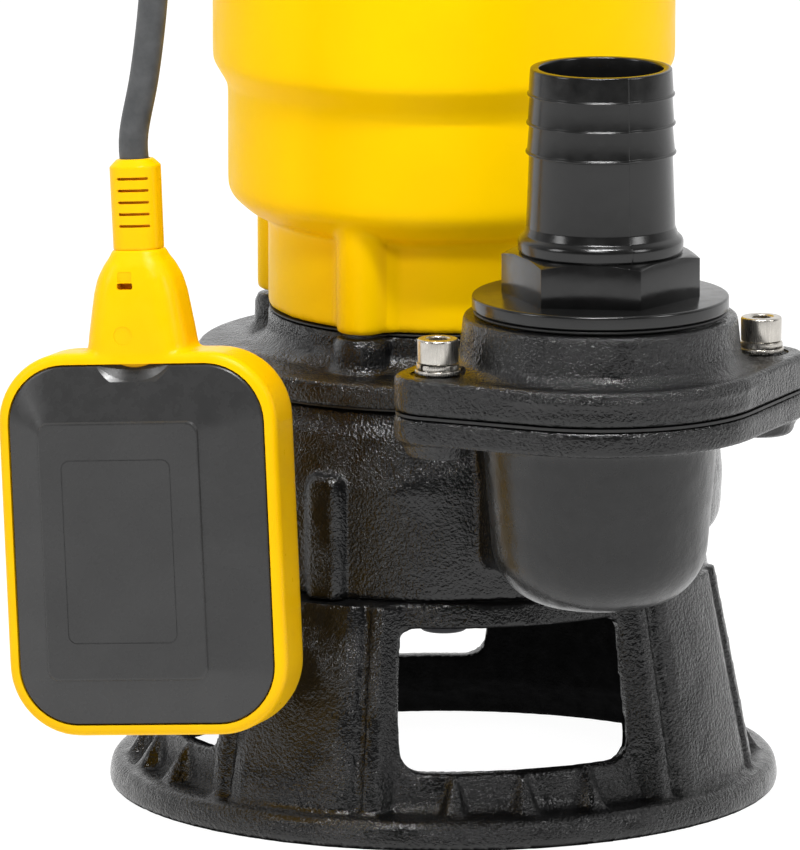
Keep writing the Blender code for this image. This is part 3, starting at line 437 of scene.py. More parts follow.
def yellow_enamel():
    n = Nodes("yellow_enamel")
    waves = n.bump(n.noise(16, 2), 0.25)
    peel = n.bump(n.noise(1.8, 2), 0.06, waves)
    colour = n.colours(n.noise(45, 4), ((0.25, (0.96, 0.565, 0.0001)), (0.75, (0.99, 0.61, 0.0002))))
    roughness = n.vary(n.noise(9, 3), 0.28, 0.40)
    return n.finish(peel, base_color=colour, roughness=roughness, specular_ior_level=0.03)


def moulded(name, dark, light, roughness, peel=0.012, level=0.5):
    """Injection-moulded plastic: nearly even colour and a fine texture."""
    n = Nodes(name)
    fine = n.bump(n.noise(0.7, 2), peel, n.bump(n.noise(8, 2), 0.05))
    colour = n.tint(n.noise(20, 4, 0.6), dark, light)
    sheen = n.vary(n.noise(5, 4, 0.6), roughness - 0.05, roughness + 0.06)
    return n.finish(fine, base_color=colour, roughness=sheen, specular_ior_level=level)


def metal(name, colour, roughness, grain_mm=0.35, stretch=(1, 1, 0.05), depth=0.01):
    """Machined metal with turning or drawing marks."""
    n = Nodes(name)
    marks = n.noise(grain_mm, 2, 0.5, stretch)
    dim = tuple(0.82 * value for value in colour)
    tint = n.tint(n.noise(4, 4), dim, colour)
    sheen = n.vary(marks, roughness - 0.07, roughness + 0.09)
    return n.finish(n.bump(marks, depth), base_color=tint, roughness=sheen, metallic=1)


def rubber(name, dark, light, roughness):
    n = Nodes(name)
    skin = n.bump(n.noise(0.6, 3, 0.6), 0.03, n.bump(n.noise(5, 2), 0.12))
    colour = n.tint(n.noise(7, 5, 0.7), dark, light)
    sheen = n.vary(n.noise(3, 3), roughness - 0.06, roughness + 0.08)
    return n.finish(skin, base_color=colour, roughness=sheen)


def laminations():
    n = Nodes("laminations")
    stack = n.node("ShaderNodeTexWave", {"Vector": n.where, "Scale": 320}, bands_direction="Z")
    tint = n.colours(stack.outputs["Fac"], ((0.2, (0.10, 0.10, 0.11)), (0.8, (0.38, 0.38, 0.40))))
    return n.finish(n.bump(stack.outputs["Fac"], 0.1), base_color=tint, roughness=0.42, metallic=1)


def windings():
    n = Nodes("windings")
    inputs = {"Vector": n.where, "Scale": 260, "Distortion": 4}
    strands = n.node("ShaderNodeTexWave", inputs, wave_type="RINGS", rings_direction="Z")
    tint = n.colours(strands.outputs["Fac"], ((0.1, (0.30, 0.09, 0.03)), (0.8, (0.72, 0.30, 0.12))))
    return n.finish(n.bump(strands.outputs["Fac"], 0.3), base_color=tint, roughness=0.35, metallic=0.7)


def raw_iron():
    n = Nodes("raw_iron")
    skin = n.bump(n.noise(1.6, 4, 0.65), 0.2)
    tint = n.tint(n.noise(7, 5, 0.65), (0.045, 0.044, 0.043), (0.11, 0.108, 0.105))
    return n.finish(skin, base_color=tint, roughness=0.55, metallic=0.8)


ENAMEL = cast_enamel()
YELLOW = yellow_enamel()
BARB_PLASTIC = moulded("barb_plastic", grey(0.005), (0.008, 0.008, 0.0078), 0.2, 0.003)
BLACK_PLASTIC = moulded("black_plastic", grey(0.014), grey(0.022), 0.38)
YELLOW_PLASTIC = moulded("yellow_plastic", (0.90, 0.50, 0.0002), (0.93, 0.535, 0.0004), 0.32, 0.006, 0.12)
GREY_PLASTIC = moulded("grey_plastic", grey(0.028), grey(0.034), 0.27, 0.008)
STAINLESS = metal("stainless", (0.62, 0.59, 0.54), 0.28)
BLACKENED = metal("blackened_steel", (0.045, 0.045, 0.048), 0.4)
STEEL = metal("steel", (0.46, 0.46, 0.47), 0.32)
ALUMINIUM = metal("aluminium", (0.62, 0.62, 0.63), 0.45, 1.2, (1, 1, 1), 0.05)
BLACK_RUBBER = rubber("black_rubber", grey(0.008), grey(0.014), 0.45)
CABLE_RUBBER = rubber("cable_rubber", (0.040, 0.042, 0.044), (0.074, 0.076, 0.078), 0.5)
CARBON = rubber("carbon", grey(0.02), grey(0.045), 0.35)
LAMINATIONS, WINDINGS, RAW_IRON = laminations(), windings(), raw_iron()


# ---- camera, floor and light
def make_camera():
    towards = polar(1, CAMERA_AZIMUTH - 90)
    right = Vector((-towards.y, towards.x, 0))
    axis = Vector((PUMP_X, PUMP_Y, 0))
    spot = axis + towards * CAMERA_DISTANCE + Vector((0, 0, CAMERA_HEIGHT))
    target = axis - right * AIM_LEFT + Vector((0, 0, AIM_Z))
    camera = bpy.data.objects.new("camera", bpy.data.cameras.new("camera"))
    camera.data.lens = LENS
    camera.data.clip_end = 50
    camera.location = spot * MM
    camera.rotation_euler = (target - spot).to_track_quat("-Z", "Y").to_euler()
    bpy.context.collection.objects.link(camera)
    bpy.context.scene.camera = camera


def softbox(name, azimuth, elevation, distance, size, radiance):
    """A rectangular lamp that faces the pump. Azimuth is from the camera's own, in degrees."""
    lamp = bpy.data.lights.new(name, "AREA")
    lamp.shape = "RECTANGLE"
    lamp.size, lamp.size_y = size
    lamp.energy = radiance * pi * size[0] * size[1]
    obj = bpy.data.objects.new(name, lamp)
    flat = polar(cos(radians(elevation)), CAMERA_AZIMUTH - 90 + azimuth)
    away = Vector((flat.x, flat.y, sin(radians(elevation))))
    target = Vector((PUMP_X, PUMP_Y, 180)) * MM
    obj.location = target + away * distance
    obj.rotation_euler = (-away).to_track_quat("-Z", "Y").to_euler()
    bpy.context.collection.objects.link(obj)


def make_stage():
    far = FLOOR_REACH
    slab = prism([(-far, -far), (far, -far), (far, far), (-far, far)], -20, -0.05)
    floor = scratch("floor", [slab])
    floor.data.transform(Matrix.Scale(MM, 4))
    n = Nodes("floor")
    glow = n.node("ShaderNodeEmission", {"Strength": 0.97})
    n.finish(base_color=grey(0.18), roughness=0.9, specular_ior_level=0.1)
    both = n.node("ShaderNodeAddShader", {0: n.shader.outputs[0], 1: glow.outputs[0]})
    n.feed(both.outputs[0], n.tree.nodes["Material Output"].inputs["Surface"])
    floor.data.materials.append(n.material)
    softbox("front_top", -6, 46, 2.2, (0.60, 0.26), 32)
    softbox("overhead", 4, 66, 2, (0.9, 0.09), 125)
    softbox("left_side", -64, 24, 2.2, (0.55, 0.9), 6)
    softbox("right_side", 58, 26, 2.2, (0.55, 0.9), 6.5)
    make_world()
    settings = bpy.context.scene.view_settings
    settings.view_transform = "Standard"
    settings.look = "None"


def make_world():
    """Bright behind the pump and dim on the camera's side, as in a studio with a white backdrop."""
    world = bpy.data.worlds.new("studio")
    bpy.context.scene.world = world
    n = Nodes("studio", world)
    inputs = {0: n.coordinates["Generated"], 1: -polar(1, CAMERA_AZIMUTH - 90)}
    dot = n.node("ShaderNodeVectorMath", inputs, operation="DOT_PRODUCT")
    away = n.between(dot.outputs["Value"], 0, 1, -1, 1)
    light = n.colours(away, ((0.42, grey(0.07)), (0.78, grey(1))))
    n.feed(light, n.tree.nodes["Background"].inputs["Color"])


# ---- float cable
def smooth_route(points, spacing):
    """Evenly spaced points on a Catmull-Rom curve through the given points."""
    padded = [2 * points[0] - points[1], *points, 2 * points[-1] - points[-2]]
    dense = []
    for a, b, c, d in zip(padded, padded[1:], padded[2:], padded[3:]):
        for step in range(16):
            t = step / 16
            square = 2 * a - 5 * b + 4 * c - d
            cube = 3 * b - a - 3 * c + d
            dense.append(0.5 * (2 * b + (c - a) * t + square * t * t + cube * t**3))
    dense.append(points[-1])
    lengths = [0]
    for a, b in zip(dense, dense[1:]):
        lengths.append(lengths[-1] + (b - a).length)
    count = max(2, round(lengths[-1] / spacing))
    found, index = [], 0
    for step in range(count + 1):
        wanted = lengths[-1] * step / count
        while index < len(dense) - 2 and lengths[index + 1] < wanted:
            index += 1
        span = lengths[index + 1] - lengths[index]
        found.append(dense[index].lerp(dense[index + 1], (wanted - lengths[index]) / span))
    return found


def tube(points, radius, segments=32):
    """A closed tube along a smooth route, with no twist."""
    side = Vector((0.3, -0.9, 0))
    rings = []
    for index, point in enumerate(points):
        ahead = points[min(index + 1, len(points) - 1)] - points[max(index - 1, 0)]
        across = side.cross(ahead).normalized()
        side = ahead.cross(across).normalized()
        ring = []
        for step in range(segments):
            angle = tau * step / segments
            ring.append(point + radius * (across * cos(angle) + side * sin(angle)))
        rings.append(ring)
    return lofted(rings)


def boot_point(z):
    return FLOAT_TURN @ Vector((0, NECK_Y, z))


def make_cable():
    ahead = polar(1, FLOAT_GLAND_ANGLE)
    inside = TURRET_R + 17
    bend_rho = SWING_RHO - CABLE_BEND
    route = [ahead * rho + Vector((0, 0, GLAND_Z)) for rho in (inside, 0.5 * (inside + bend_rho), bend_rho)]
    for step in range(1, 6):
        angle = radians(18 * step)
        rho = bend_rho + CABLE_BEND * sin(angle)
        route.append(ahead * rho + Vector((0, 0, GLAND_Z - CABLE_BEND * (1 - cos(angle)))))
    route.append(route[-1] + Vector((0, 0, -17)))
    route += [Vector(point) for point in CABLE_HANG]
    inner_end, straight_end = NECK_END_Z - 12, BOOT_TOP_Z + 8
    route += [boot_point(straight_end + (inner_end - straight_end) * step / 4) for step in range(5)]
    line = smooth_route(route, 3)
    cable = scratch("float_cable", [tube(line, CABLE_R)])
    to_row = Matrix.Scale(MM, 4) @ Matrix.Translation((PUMP_X, PUMP_Y, 0))
    cable.data.transform(to_row)
    cable.data.shade_smooth()
    cable.data.materials.append(CABLE_RUBBER)
    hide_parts("float_cable_lead", "float_cable_drop")
    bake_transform(cable)


# ---- strainer base
def cone_r(z):
    return CONE_TOP_R + (CONE_FOOT_R - CONE_TOP_R) / (BASE_H - CONE_FOOT_Z) * (BASE_H - z)


def pillar_r(z):
    return PILLAR_TOP_R + (PILLAR_FOOT_R - PILLAR_TOP_R) * (BASE_H - z) / (BASE_H - SHELF_Z)


def leg_relief(middle):
    """A broad raised panel between two fins. Each is a stack of sections that follow the cone."""
    heights = (12.6, 34, 57, BASE_H - 0.6)
    panel, bed, fins = [], [], ([], [])
    for z in heights:
        out, root = pillar_r(z), cone_r(z) - 4
        rings = sector(root, out, middle - 12.2, middle + 12.2, z)
        rings[0] = tuple(polar(out - 1.2, middle - 12.6, z))
        rings[10] = tuple(polar(out - 1.2, middle + 12.6, z))
        panel.append(rings)
        bed.append(sector(root, max(cone_r(z) + 0.8, out - 2.9), middle - 15, middle + 15, z))
        for side, fin in zip((-1, 1), fins):
            crest = out - 0.8
            corners = ((root, 14.3), (crest, 14.7), (crest, 17.3), (cone_r(z) + 0.6, 20), (root, 20))
            fin.append([tuple(polar(radius, middle + side * angle, z)) for radius, angle in corners])
    return [lofted(rings) for rings in (panel, bed, *fins)]


def gusset(angle):
    """A small wedge on the shelf, its ridge running down the sill to a broad foot."""
    rings = []
    for z, half, reach in ((SHELF_Z - 1, 7.4, 7.4), (WINDOW_Z[0] - 1, 1.8, 1.6)):
        near, far = cone_r(z) - 5, cone_r(z) + reach
        flat = ((near, -half), (far, -0.42 * half), (far, 0.42 * half), (near, half))
        rings.append([tuple(polar(hypot(x, y), angle + 180 / pi * atan2(y, x), z)) for x, y in flat])
    return lofted(rings)


def make_base():
    profile = soft([
        (BASE_EYE_R, BASE_H, 0.8), (CONE_TOP_R, BASE_H, 1.2), (CONE_FOOT_R + 0.4, CONE_FOOT_Z - 2, 1.5),
        (CONE_FOOT_R + 2.5, SHELF_Z, 1.5), (BASE_R - 1.2, SHELF_Z - 0.4, 4.5), (BASE_R, 3, 2),
        (BASE_R - 0.8, 0, 1.2), (BASE_R - 7.5, 0, 1), (BASE_R - 9, 5, 1.5),
        (CONE_FOOT_R - BASE_WALL, CONE_FOOT_Z, 2), (CONE_TOP_R - BASE_WALL + 1.2, BASE_H - 7, 4),
        (BASE_EYE_R, BASE_H - 7, 1),
    ])
    shell = scratch("base_strainer_look", [turned(profile, 256)])
    middle_z = 0.5 * (WINDOW_Z[0] + WINDOW_Z[1])
    opening = rounded_rectangle(2 * WINDOW_HALF_W, WINDOW_Z[1] - WINDOW_Z[0], WINDOW_CORNER)
    cutters, extras = [], []
    for step in range(4):
        turn = WINDOW_ANGLE + 90 * step
        rings = [[(x, y, middle_z + z) for y, z in opening] for x in (55, 135)]
        cutters.append(moved(lofted(rings), rotation=(0, 0, turn)))
        extras += leg_relief(turn + 45)
        extras += [gusset(turn + 13.5 * side) for side in (-1, 0, 1)]
    boolean(shell, cutters)
    shell = fused(scratch("base_strainer_look", [taken(shell), *extras]), 1.2, 2)
    # Inward- and downward-facing faces are marked for painted shade, which the enamel gives by dropping
    # their reflection.
    painted_shade = shell.data.attributes.new("painted_shade", "FLOAT", "POINT")
    values = []
    for vertex in shell.data.vertices:
        outward = vertex.normal.xy.dot(vertex.co.xy.normalized())
        values.append(float(outward < -0.35 or vertex.normal.z < -0.5))
    painted_shade.data.foreach_set("value", values)
    place(shell, ENAMEL, "base_strainer")


# ---- casing
def flange_outline(grow=0):
    radius, ear = FLANGE_R + grow, EAR_R + grow
    lean = 90 - asin((radius - ear) / EAR_X) * 180 / pi
    outline = arc((EAR_X, 0), ear, -lean, lean, 20)
    outline += arc((0, 0), radius, lean, 180 - lean, 36)
    outline += arc((-EAR_X, 0), ear, 180 - lean, 180 + lean, 20)
    outline += arc((0, 0), radius, 180 + lean, 360 - lean, 36)
    return outline


def scroll(low_z, high_z, root_r, start_r, end_r):
    start, end, count = 165, -70, 60
    rings = []
    for step in range(count + 1):
        share = step / count
        angle = start + (end - start) * share
        reach = start_r + (end_r - start_r) * share**0.7
        section = soft([
            (root_r, low_z, 0), (reach - 1, low_z, 9), (reach, 0.5 * (low_z + high_z), 8),
            (reach - 2, high_z, 11), (root_r, high_z, 0),
        ], 6)
        rings.append([tuple(polar(radius, angle, z)) for radius, z in section])
    return lofted(rings)


def make_volute():
    outside = soft([
        (0, CASING_Z, 0), (CASING_R, CASING_Z, 0.8), (CASING_R, 117.6, 1), (84.8, 135.5, 5),
        (81.5, 140.3, 2.5), (80.6, CASING_TOP, 0.6), (0, CASING_TOP, 0),
    ])
    parts = [turned(outside, 256), scroll(90.5, 129, 80, 84.5, 97.5)]
    for angle in COLUMN_ANGLES:
        pad = rounded_rectangle(24, 15, 5)
        boss = [[(81 + x, y, z) for x, y in pad] for z in (CASING_Z, 117)]
        boss.append([(81 + 0.95 * x, 0.92 * y, 120) for x, y in pad])
        boss.append([(81 + 0.82 * x, 0.72 * y, 122.2) for x, y in pad])
        parts.append(moved(lofted(boss), rotation=(0, 0, angle)))
    throat = [(-19.5, -OUTLET_L), (24, -OUTLET_L), (32, -70), (-19.5, -70)]
    parts.append(plate(throat, POT_BOTTOM + 3.5, 141, 6))
    low = POT_BOTTOM + 0.8
    fillet = arc((POT_R - 22.5, low + 23), 22, -86, -4, 16)
    pot = [(0, low), *fillet, (POT_R + 2.4, 146), (POT_R + 5.5, 152), (0, 152)]
    parts.append(moved(turned(pot, 160), (0, -OUTLET_L, 0)))
    parts.append(moved(plate(flange_outline(), *LOWER_FLANGE_Z, 1.6), (0, -OUTLET_L, 0)))
    for x in (-EAR_X, EAR_X):
        boss = soft([(0, 144.2, 0), (10.5, 144.2, 3), (12.2, 151, 0), (0, 151, 0)])
        parts.append(moved(turned(boss, 64), (x, -OUTLET_L, 0)))
    inside = [
        (0, CASING_Z - 5), (62, CASING_Z - 5), (62, CASING_Z + 7.3), (76, 94), (76, 114),
        (72, 120), (64, 128), (64, CASING_TOP + 5), (0, CASING_TOP + 5),
    ]
    tunnel = [[(x, -y, 110 + z) for x, z in circle(13.5)] for y in (60, OUTLET_L)]
    bore = [(0, 95), (16, 95), (24, 103), (25, 110), (25, 165), (0, 165)]
    cutters = [turned(inside, 128), scroll(97, 121, 70, 77, 89.5), lofted(tunnel)]
    cutters.append(moved(turned(bore, 96), (0, -OUTLET_L, 0)))
    cutters += [drill(4.4, 146.5, 170, (x, -OUTLET_L)) for x in (-EAR_X, EAR_X)]
    casing = cast("volute_casing_look", parts, 1.1, 3, cutters)
    calm_pot(casing.data)
    place(casing, ENAMEL, "volute_casing")


def calm_pot(mesh):
    """The pot under the outlet was ground and filled before painting, so its enamel lies smoother."""
    calm = mesh.attributes.new("calm", "FLOAT", "POINT")
    values = []
    for vertex in mesh.vertices:
        out = hypot(vertex.co.x, vertex.co.y + OUTLET_L)
        near = min(1, max(0, (44 - out) / 2)) if vertex.co.y < -OUTLET_L + 34 else 0
        low = min(1, max(0, (148.5 - vertex.co.z) / 3))
        values.append(0.86 * near * low)
    calm.data.foreach_set("value", values)


def make_flange():
    low, high = UPPER_FLANGE_Z
    top = high + 16.6
    neck = soft([
        (0, high - 4, 0), (56, high - 4, 0), (51.5, high - 0.3, 3), (46.9, high + 2.6, 3),
        (45.4, top, 1.6), (0, top, 0),
    ])
    parts = [plate(flange_outline(), low, high, 1.8), turned(neck, 192)]
    under, step, over = low - 5, high - 1, top + 5
    bore = [(0, under), (25, under), (25, step), (29, step), (29, over), (0, over)]
    cutters = [turned(bore, 128)]
    for x in (-EAR_X, EAR_X):
        cutters += [drill(4.5, low - 5, high + 5, (x, 0)), drill(9.2, high - 0.5, high + 12, (x, 0), 64)]
    flange = cast("discharge_flange_look", parts, 0.9, 3, cutters)
    place(flange, ENAMEL, "discharge_flange", home="outlet")


def make_seals():
    def ring(inner, outer, low, high):
        return soft([(inner, low, 0.2), (outer, low, 0.2), (outer, high, 0.2), (inner, high, 0.2)], 3)

    low, high = LOWER_FLANGE_Z[1] + 0.15, UPPER_FLANGE_Z[0] - 0.15
    gasket = scratch("discharge_gasket_look", [prism(flange_outline(-0.5), low, high)])
    holes = [drill(25, low - 2, high + 2, segments=96)]
    holes += [drill(4.4, low - 2, high + 2, (x, 0)) for x in (-EAR_X, EAR_X)]
    boolean(gasket, holes)
    place(gasket, BLACK_RUBBER, "discharge_gasket", home="outlet")
    seal_z = UPPER_FLANGE_Z[1] + 16.9
    bead = [(41.2 + 0.9 * cos(tau * k / 16), seal_z + 0.65 + 0.64 * sin(tau * k / 16)) for k in range(16)]
    body = ring(31, 41, seal_z, seal_z + 1.3)
    parts = [turned(body, 128), turned(bead, 128)]
    piece("barb_seal_look", parts, BLACK_RUBBER, "barb_seal_ring", home="outlet")
    gaskets = (
        ("volute_gasket", 65, 80.9, CASING_TOP + 0.3, 144.6),
        ("housing_gasket", 53, 59.6, 165.7, 166.3),
        ("cap_gasket", 73, 78.7, 370.3, 371.1),
    )
    for node, *sizes in gaskets:
        piece(f"{node}_look", [turned(ring(*sizes))], BLACK_RUBBER, node)


# ---- hose barb
def make_barb():
    low = UPPER_FLANGE_Z[1] + 0.3
    disc = 190.5
    face = disc + 4.6
    hex_top = face + 14.4
    rim = disc + 80.6
    outline = [
        (20.4, low, 0.5), (28.4, low, 0.8), (28.4, disc, 0), (42.6, disc, 0.7), (42.6, face, 0.9),
        (26.6, face, 0.6), (26.6, hex_top - 0.4, 0.6), (27.3, hex_top + 0.6, 0.8),
        (27.5, hex_top + 4.6, 2.6), (25.6, hex_top + 6.2, 1.2), (24.7, hex_top + 8.8, 2),
        (23.75, rim - 28.6, 0.15),
    ]
    for step in range(3):
        tooth = rim - 28.3 + 9.7 * step
        outline.append((24.95 - 0.25 * step, tooth, 0.2))
        outline.append((24.95 - 0.25 * step, tooth + 0.5, 0.3))
        outline.append((24.45 - 0.25 * step, tooth + 1, 0.3))
        following = tooth + 9.6 if step < 2 else rim
        outline.append((23.7 - 0.12 * step, following, 0.12 if step < 2 else 0.7))
    outline += [(20.6, rim, 0.7), (20.4, rim - 4, 0.5)]
    seam = -88.5
    angles = [360 * step / 180 for step in range(180)]
    for line in (seam, seam + 180):
        angles += [line + extra for extra in (-1.3, -0.6, 0, 0.6, 1.3)]
    angles = sorted(angle % 360 for angle in angles)
    body = turned(soft(outline, 4), angles=angles)
    for vertex in body.verts:
        radius, angle = vertex.co.xy.length, atan2(vertex.co.y, vertex.co.x) * 180 / pi
        on_seam = min(abs(angle - seam), abs(angle - seam - 180)) < 0.1
        if on_seam and radius > 22.5 and vertex.co.z > hex_top:
            vertex.co.xy *= (radius + 0.35) / radius
    ring = scratch("hexagon", [prism(hexagon(57.2, -87.5), face - 1, hex_top)])
    chamfer = [(0, face - 3), (40, face - 3), (40, hex_top - 4.5), (29.2, hex_top), (0, hex_top)]
    boolean(ring, [turned(chamfer, 160)], "INTERSECT")
    bevel = ring.modifiers.new("bevel", "BEVEL")
    bevel.width, bevel.segments, bevel.limit_method = 0.35, 2, "ANGLE"
    bevel.angle_limit = radians(25)
    applied(ring)
    boolean(ring, [drill(24, face - 5, hex_top + 5, segments=96)])
    parts = [body, taken(ring)]
    piece("hose_barb_look", parts, BARB_PLASTIC, "hose_barb", home="outlet", sharp=32)


# ---- screws
def socket_head(shank_r, length, head_r, head_h, socket):
    """A socket head screw hanging from z = 0, with a round-cornered head and a hexagon socket."""
    outline = soft([
        (0, -length, 0), (shank_r - 0.5, -length, 0), (shank_r, -length + 0.8, 0), (shank_r, 0, 0),
        (head_r - 0.1, 0, 0.3), (head_r, head_h, 0.9), (0.55 * socket + 0.9, head_h, 0.2),
        (0.55 * socket + 0.5, head_h - 0.4, 0), (0, head_h - 0.4, 0),
    ], 4)
    screw = scratch("screw", [turned(outline, 64)])
    boolean(screw, [prism(hexagon(socket, 10), 0.45 * head_h, head_h + 3)])
    return screw


def fit_screw(node, sizes, at, turn=0, axis="Z", home="pump"):
    screw = socket_head(*sizes)
    screw.name = f"{node}_look"
    screw.data.transform(Matrix.Translation(at) @ Matrix.Rotation(radians(turn), 4, axis))
    place(screw, STAINLESS, node, home=home)


def make_screws():
    for side, sign, turn in (("left", -1, 12), ("right", 1, 40)):
        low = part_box(f"flange_screw_{side}")[1].z / MM - 8
        at = (EAR_X * sign, 0, low)
        fit_screw(f"flange_screw_{side}", (4, 27.5, 6.85, 8, 6), at, turn, home="outlet")
        washer = soft([(4.4, -3.7, 0.15), (7.6, -3.7, 0.25), (7.6, -2.3, 0.3), (4.4, -2.3, 0.15)], 3)
        flat = scratch(f"flange_washer_{side}_look", [moved(turned(washer, 64), at)])
        place(flat, STAINLESS, f"flange_washer_{side}", home="outlet")
        spring = spring_washer(4.4, 7.1, 2.1)
        spring = moved(spring, (at[0], at[1], at[2] - 2.25), (0, 0, 200 if sign < 0 else 330))
        made = piece(f"spring_washer_{side}", [spring], STAINLESS, None, home="outlet")
    for number in range(1, 5):
        add_screw(f"cap_screw_{number}", (3, 34, 5, 6, 5))
    for side in ("front", "back"):
        add_screw(f"handle_screw_{side}", (3, 10, 5, 5, 5))


def spring_washer(inner, outer, height):
    """A split ring of square section that rises a little between its two ends."""
    low, high = 0.15, height - 0.15
    section = soft([(inner, low, 0.2), (outer, low, 0.3), (outer, high, 0.3), (inner, high, 0.2)], 2)
    rings = []
    for step in range(61):
        angle = 5 + 350 * step / 60
        lift = 0.3 * step / 60 - 0.15
        rings.append([tuple(polar(r, angle, z + lift)) for r, z in section])
    return lofted(rings)


def add_screw(node, sizes):
    low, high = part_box(node)
    middle = 0.5 * (low + high) / MM
    fit_screw(node, sizes, (middle.x - PUMP_X, middle.y - PUMP_Y, high.z / MM - sizes[3]))


# ---- oil chamber and motor
def make_chamber():
    outline = soft([
        (0, 138, 0), (63.7, 138, 0), (63.7, 144.9, 0), (84.5, 144.9, 1.3), (84.5, 153, 1.6),
        (66, 153.6, 4), (60.2, 157.5, 5), (NECK_R, 165.4, 0.6), (0, 165.4, 0),
    ])
    parts = [turned(outline, 256)]
    for angle in COLUMN_ANGLES:
        at = polar(COLUMN_CIRCLE_R, angle)
        boss = soft([
            (0, 150, 0), (11.6, 150, 0), (11.4, 153.8, 1.2), (9.8, 155.4, 1.2), (9.6, 163, 0.8),
            (8.9, 163.6, 0.3), (8.7, 165.4, 0.4), (0, 165.4, 0),
        ])
        parts.append(moved(turned(boss, 64), at))
    inside = [
        (0, 130), (10.5, 130), (10.5, 143), (16.3, 143), (16.3, 149), (50, 149),
        (50, 170), (0, 170),
    ]
    plug_hole = [[(x, y, z) for x, z in circle(3.3, 32)] for y in (45, 70)]
    plug_hole = moved(lofted(plug_hole), (0, 0, 160.2))
    chamber = cast("seal_chamber_look", parts, 1, 3, [turned(inside, 128), plug_hole])
    place(chamber, ENAMEL, "seal_chamber")
    fit_screw("oil_plug", (3, 11, 5, 3.1, 4), (0, 62.2, 160.2), -90, "X")


def make_housing():
    top = HOUSING_TOP
    outline = soft([
        (0, HOUSING_Z, 0), (NECK_R, HOUSING_Z, 0.8), (NECK_R, 197.5, 3.5), (66.5, 200.2, 4),
        (DRUM_LOW_R, 206.5, 8), (DRUM_LOW_R, 243.5, 4), (DRUM_R - 0.2, 252, 5), (DRUM_R, top, 1),
        (0, top, 0),
    ], 8)
    parts = [turned(outline, 256)]
    for angle in COLUMN_ANGLES:
        at = polar(COLUMN_CIRCLE_R, angle)
        column = soft([(0, HOUSING_Z, 0), (8.7, HOUSING_Z, 0.7), (8.8, 214, 3), (0, 214, 0)])
        parts.append(moved(turned(column, 64), at))
        for side in (-1, 1):
            web = polar(COLUMN_CIRCLE_R - 3.4, angle + side * 8)
            parts.append(moved(turned([(0, HOUSING_Z), (3.6, HOUSING_Z), (3.6, 212), (0, 212)], 24), web))
    inside = [
        (0, HOUSING_Z - 5), (52, HOUSING_Z - 5), (52, 172), (12, 172), (12, 177),
        (20.3, 177), (20.3, 189.6), (55, 189.6), (55, 204), (68, 216), (68, 257),
        (72, 260), (72, 355.7), (75, 355.7), (75, top + 5), (0, top + 5),
    ]
    housing = cast("motor_housing_look", parts, 1.25, 8, [turned(inside, 192)])
    place(housing, YELLOW, "motor_housing")


def make_cap():
    outline = soft([
        (0, CAP_Z, 0), (DRUM_R, CAP_Z, 1.2), (DRUM_R, CAP_DECK - 2.5, 12),
        (TURRET_R + 2, CAP_DECK, 2.5), (TURRET_R, CAP_TOP, 6), (0, CAP_TOP, 0),
    ], 10)
    parts = [turned(outline, 256)]
    for y in (-HANDLE_FOOT_Y, HANDLE_FOOT_Y):
        pad = soft([(0, 392, 0), (12.6, 392, 0), (12, CAP_DECK + 0.5, 1), (0, CAP_DECK + 0.5, 0)])
        parts.append(moved(turned(pad, 64), (0, y, 0)))
    low, high = CAP_Z - 5, CAP_TOP - 7
    inside = [(0, low, 0), (72, low, 0), (72, 384, 3), (66, 391, 3), (39, 394, 2)]
    inside = soft(inside + [(38, high, 3), (0, high, 0)])
    cap_inside = scratch("cap_inside", [turned(inside, 160)])
    screws = [polar(60, 45 + 90 * step).xy for step in range(4)]
    posts = [drill(6.5, CAP_Z, 396, at, 48) for at in screws]
    boolean(cap_inside, posts)
    cutters = [taken(cap_inside)]
    for at in screws:
        cutters += [drill(6.2, 396.5, 410, at, 48), drill(3.3, CAP_Z - 5, 400, at)]
    cutters += [drill(3.3, 393, 410, (0, y)) for y in (-HANDLE_FOOT_Y, HANDLE_FOOT_Y)]
    for turn in (FLOAT_GLAND_ANGLE, POWER_GLAND_ANGLE):
        hole = [[(x, y, GLAND_Z + z) for y, z in circle(7.3)] for x in (30, 60)]
        cutters.append(moved(lofted(hole), rotation=(0, 0, turn)))
    cap = cast("top_cap_look", parts, 1.15, 6, cutters)
    place(cap, YELLOW, "top_cap")


def make_handle():
    """A bow over the cap whose section is a rounded rectangle."""
    foot = CAP_DECK + 0.8
    y, bend = HANDLE_FOOT_Y + 0.5, 22
    middle = [(y, foot + 6), (y, foot + 14)]
    middle += arc((y - bend, HANDLE_TOP - 3.5 - bend), bend, 0, 90, 12)
    path = middle + [(0, HANDLE_TOP - 3.5)] + [(-a, b) for a, b in reversed(middle)]
    rings = []
    for index, (y, z) in enumerate(path):
        ahead = Vector(path[min(index + 1, len(path) - 1)]) - Vector(path[max(index - 1, 0)])
        ahead.normalize()
        out = Vector((ahead.y, -ahead.x))
        section = rounded_rectangle(21.5, 6.9, 2.6, 6)
        rings.append([(x, y + out.x * t, z + out.y * t) for x, t in section])
    parts, cutters = [lofted(rings)], []
    for side in (-1, 1):
        pad = plate(rounded_rectangle(21.8, 22.5, 5), foot, foot + 6.2, 1.5)
        parts.append(moved(pad, (0, (HANDLE_FOOT_Y - 0.6) * side, 0)))
        at = (0, HANDLE_FOOT_Y * side)
        cutters += [drill(3.3, foot - 5, foot + 10, at), drill(5.6, foot + 3.5, foot + 26, at, 48)]
    handle = cast("handle_look", parts, 0.8, 4, cutters)
    place(handle, BLACK_PLASTIC, "handle")


def aimed(turn):
    """From an upright shape to one that looks out of the cap's turret."""
    out = Matrix.Rotation(radians(turn), 4, "Z") @ Matrix.Rotation(radians(90), 4, "Y")
    return Matrix.Translation((0, 0, GLAND_Z)) @ out


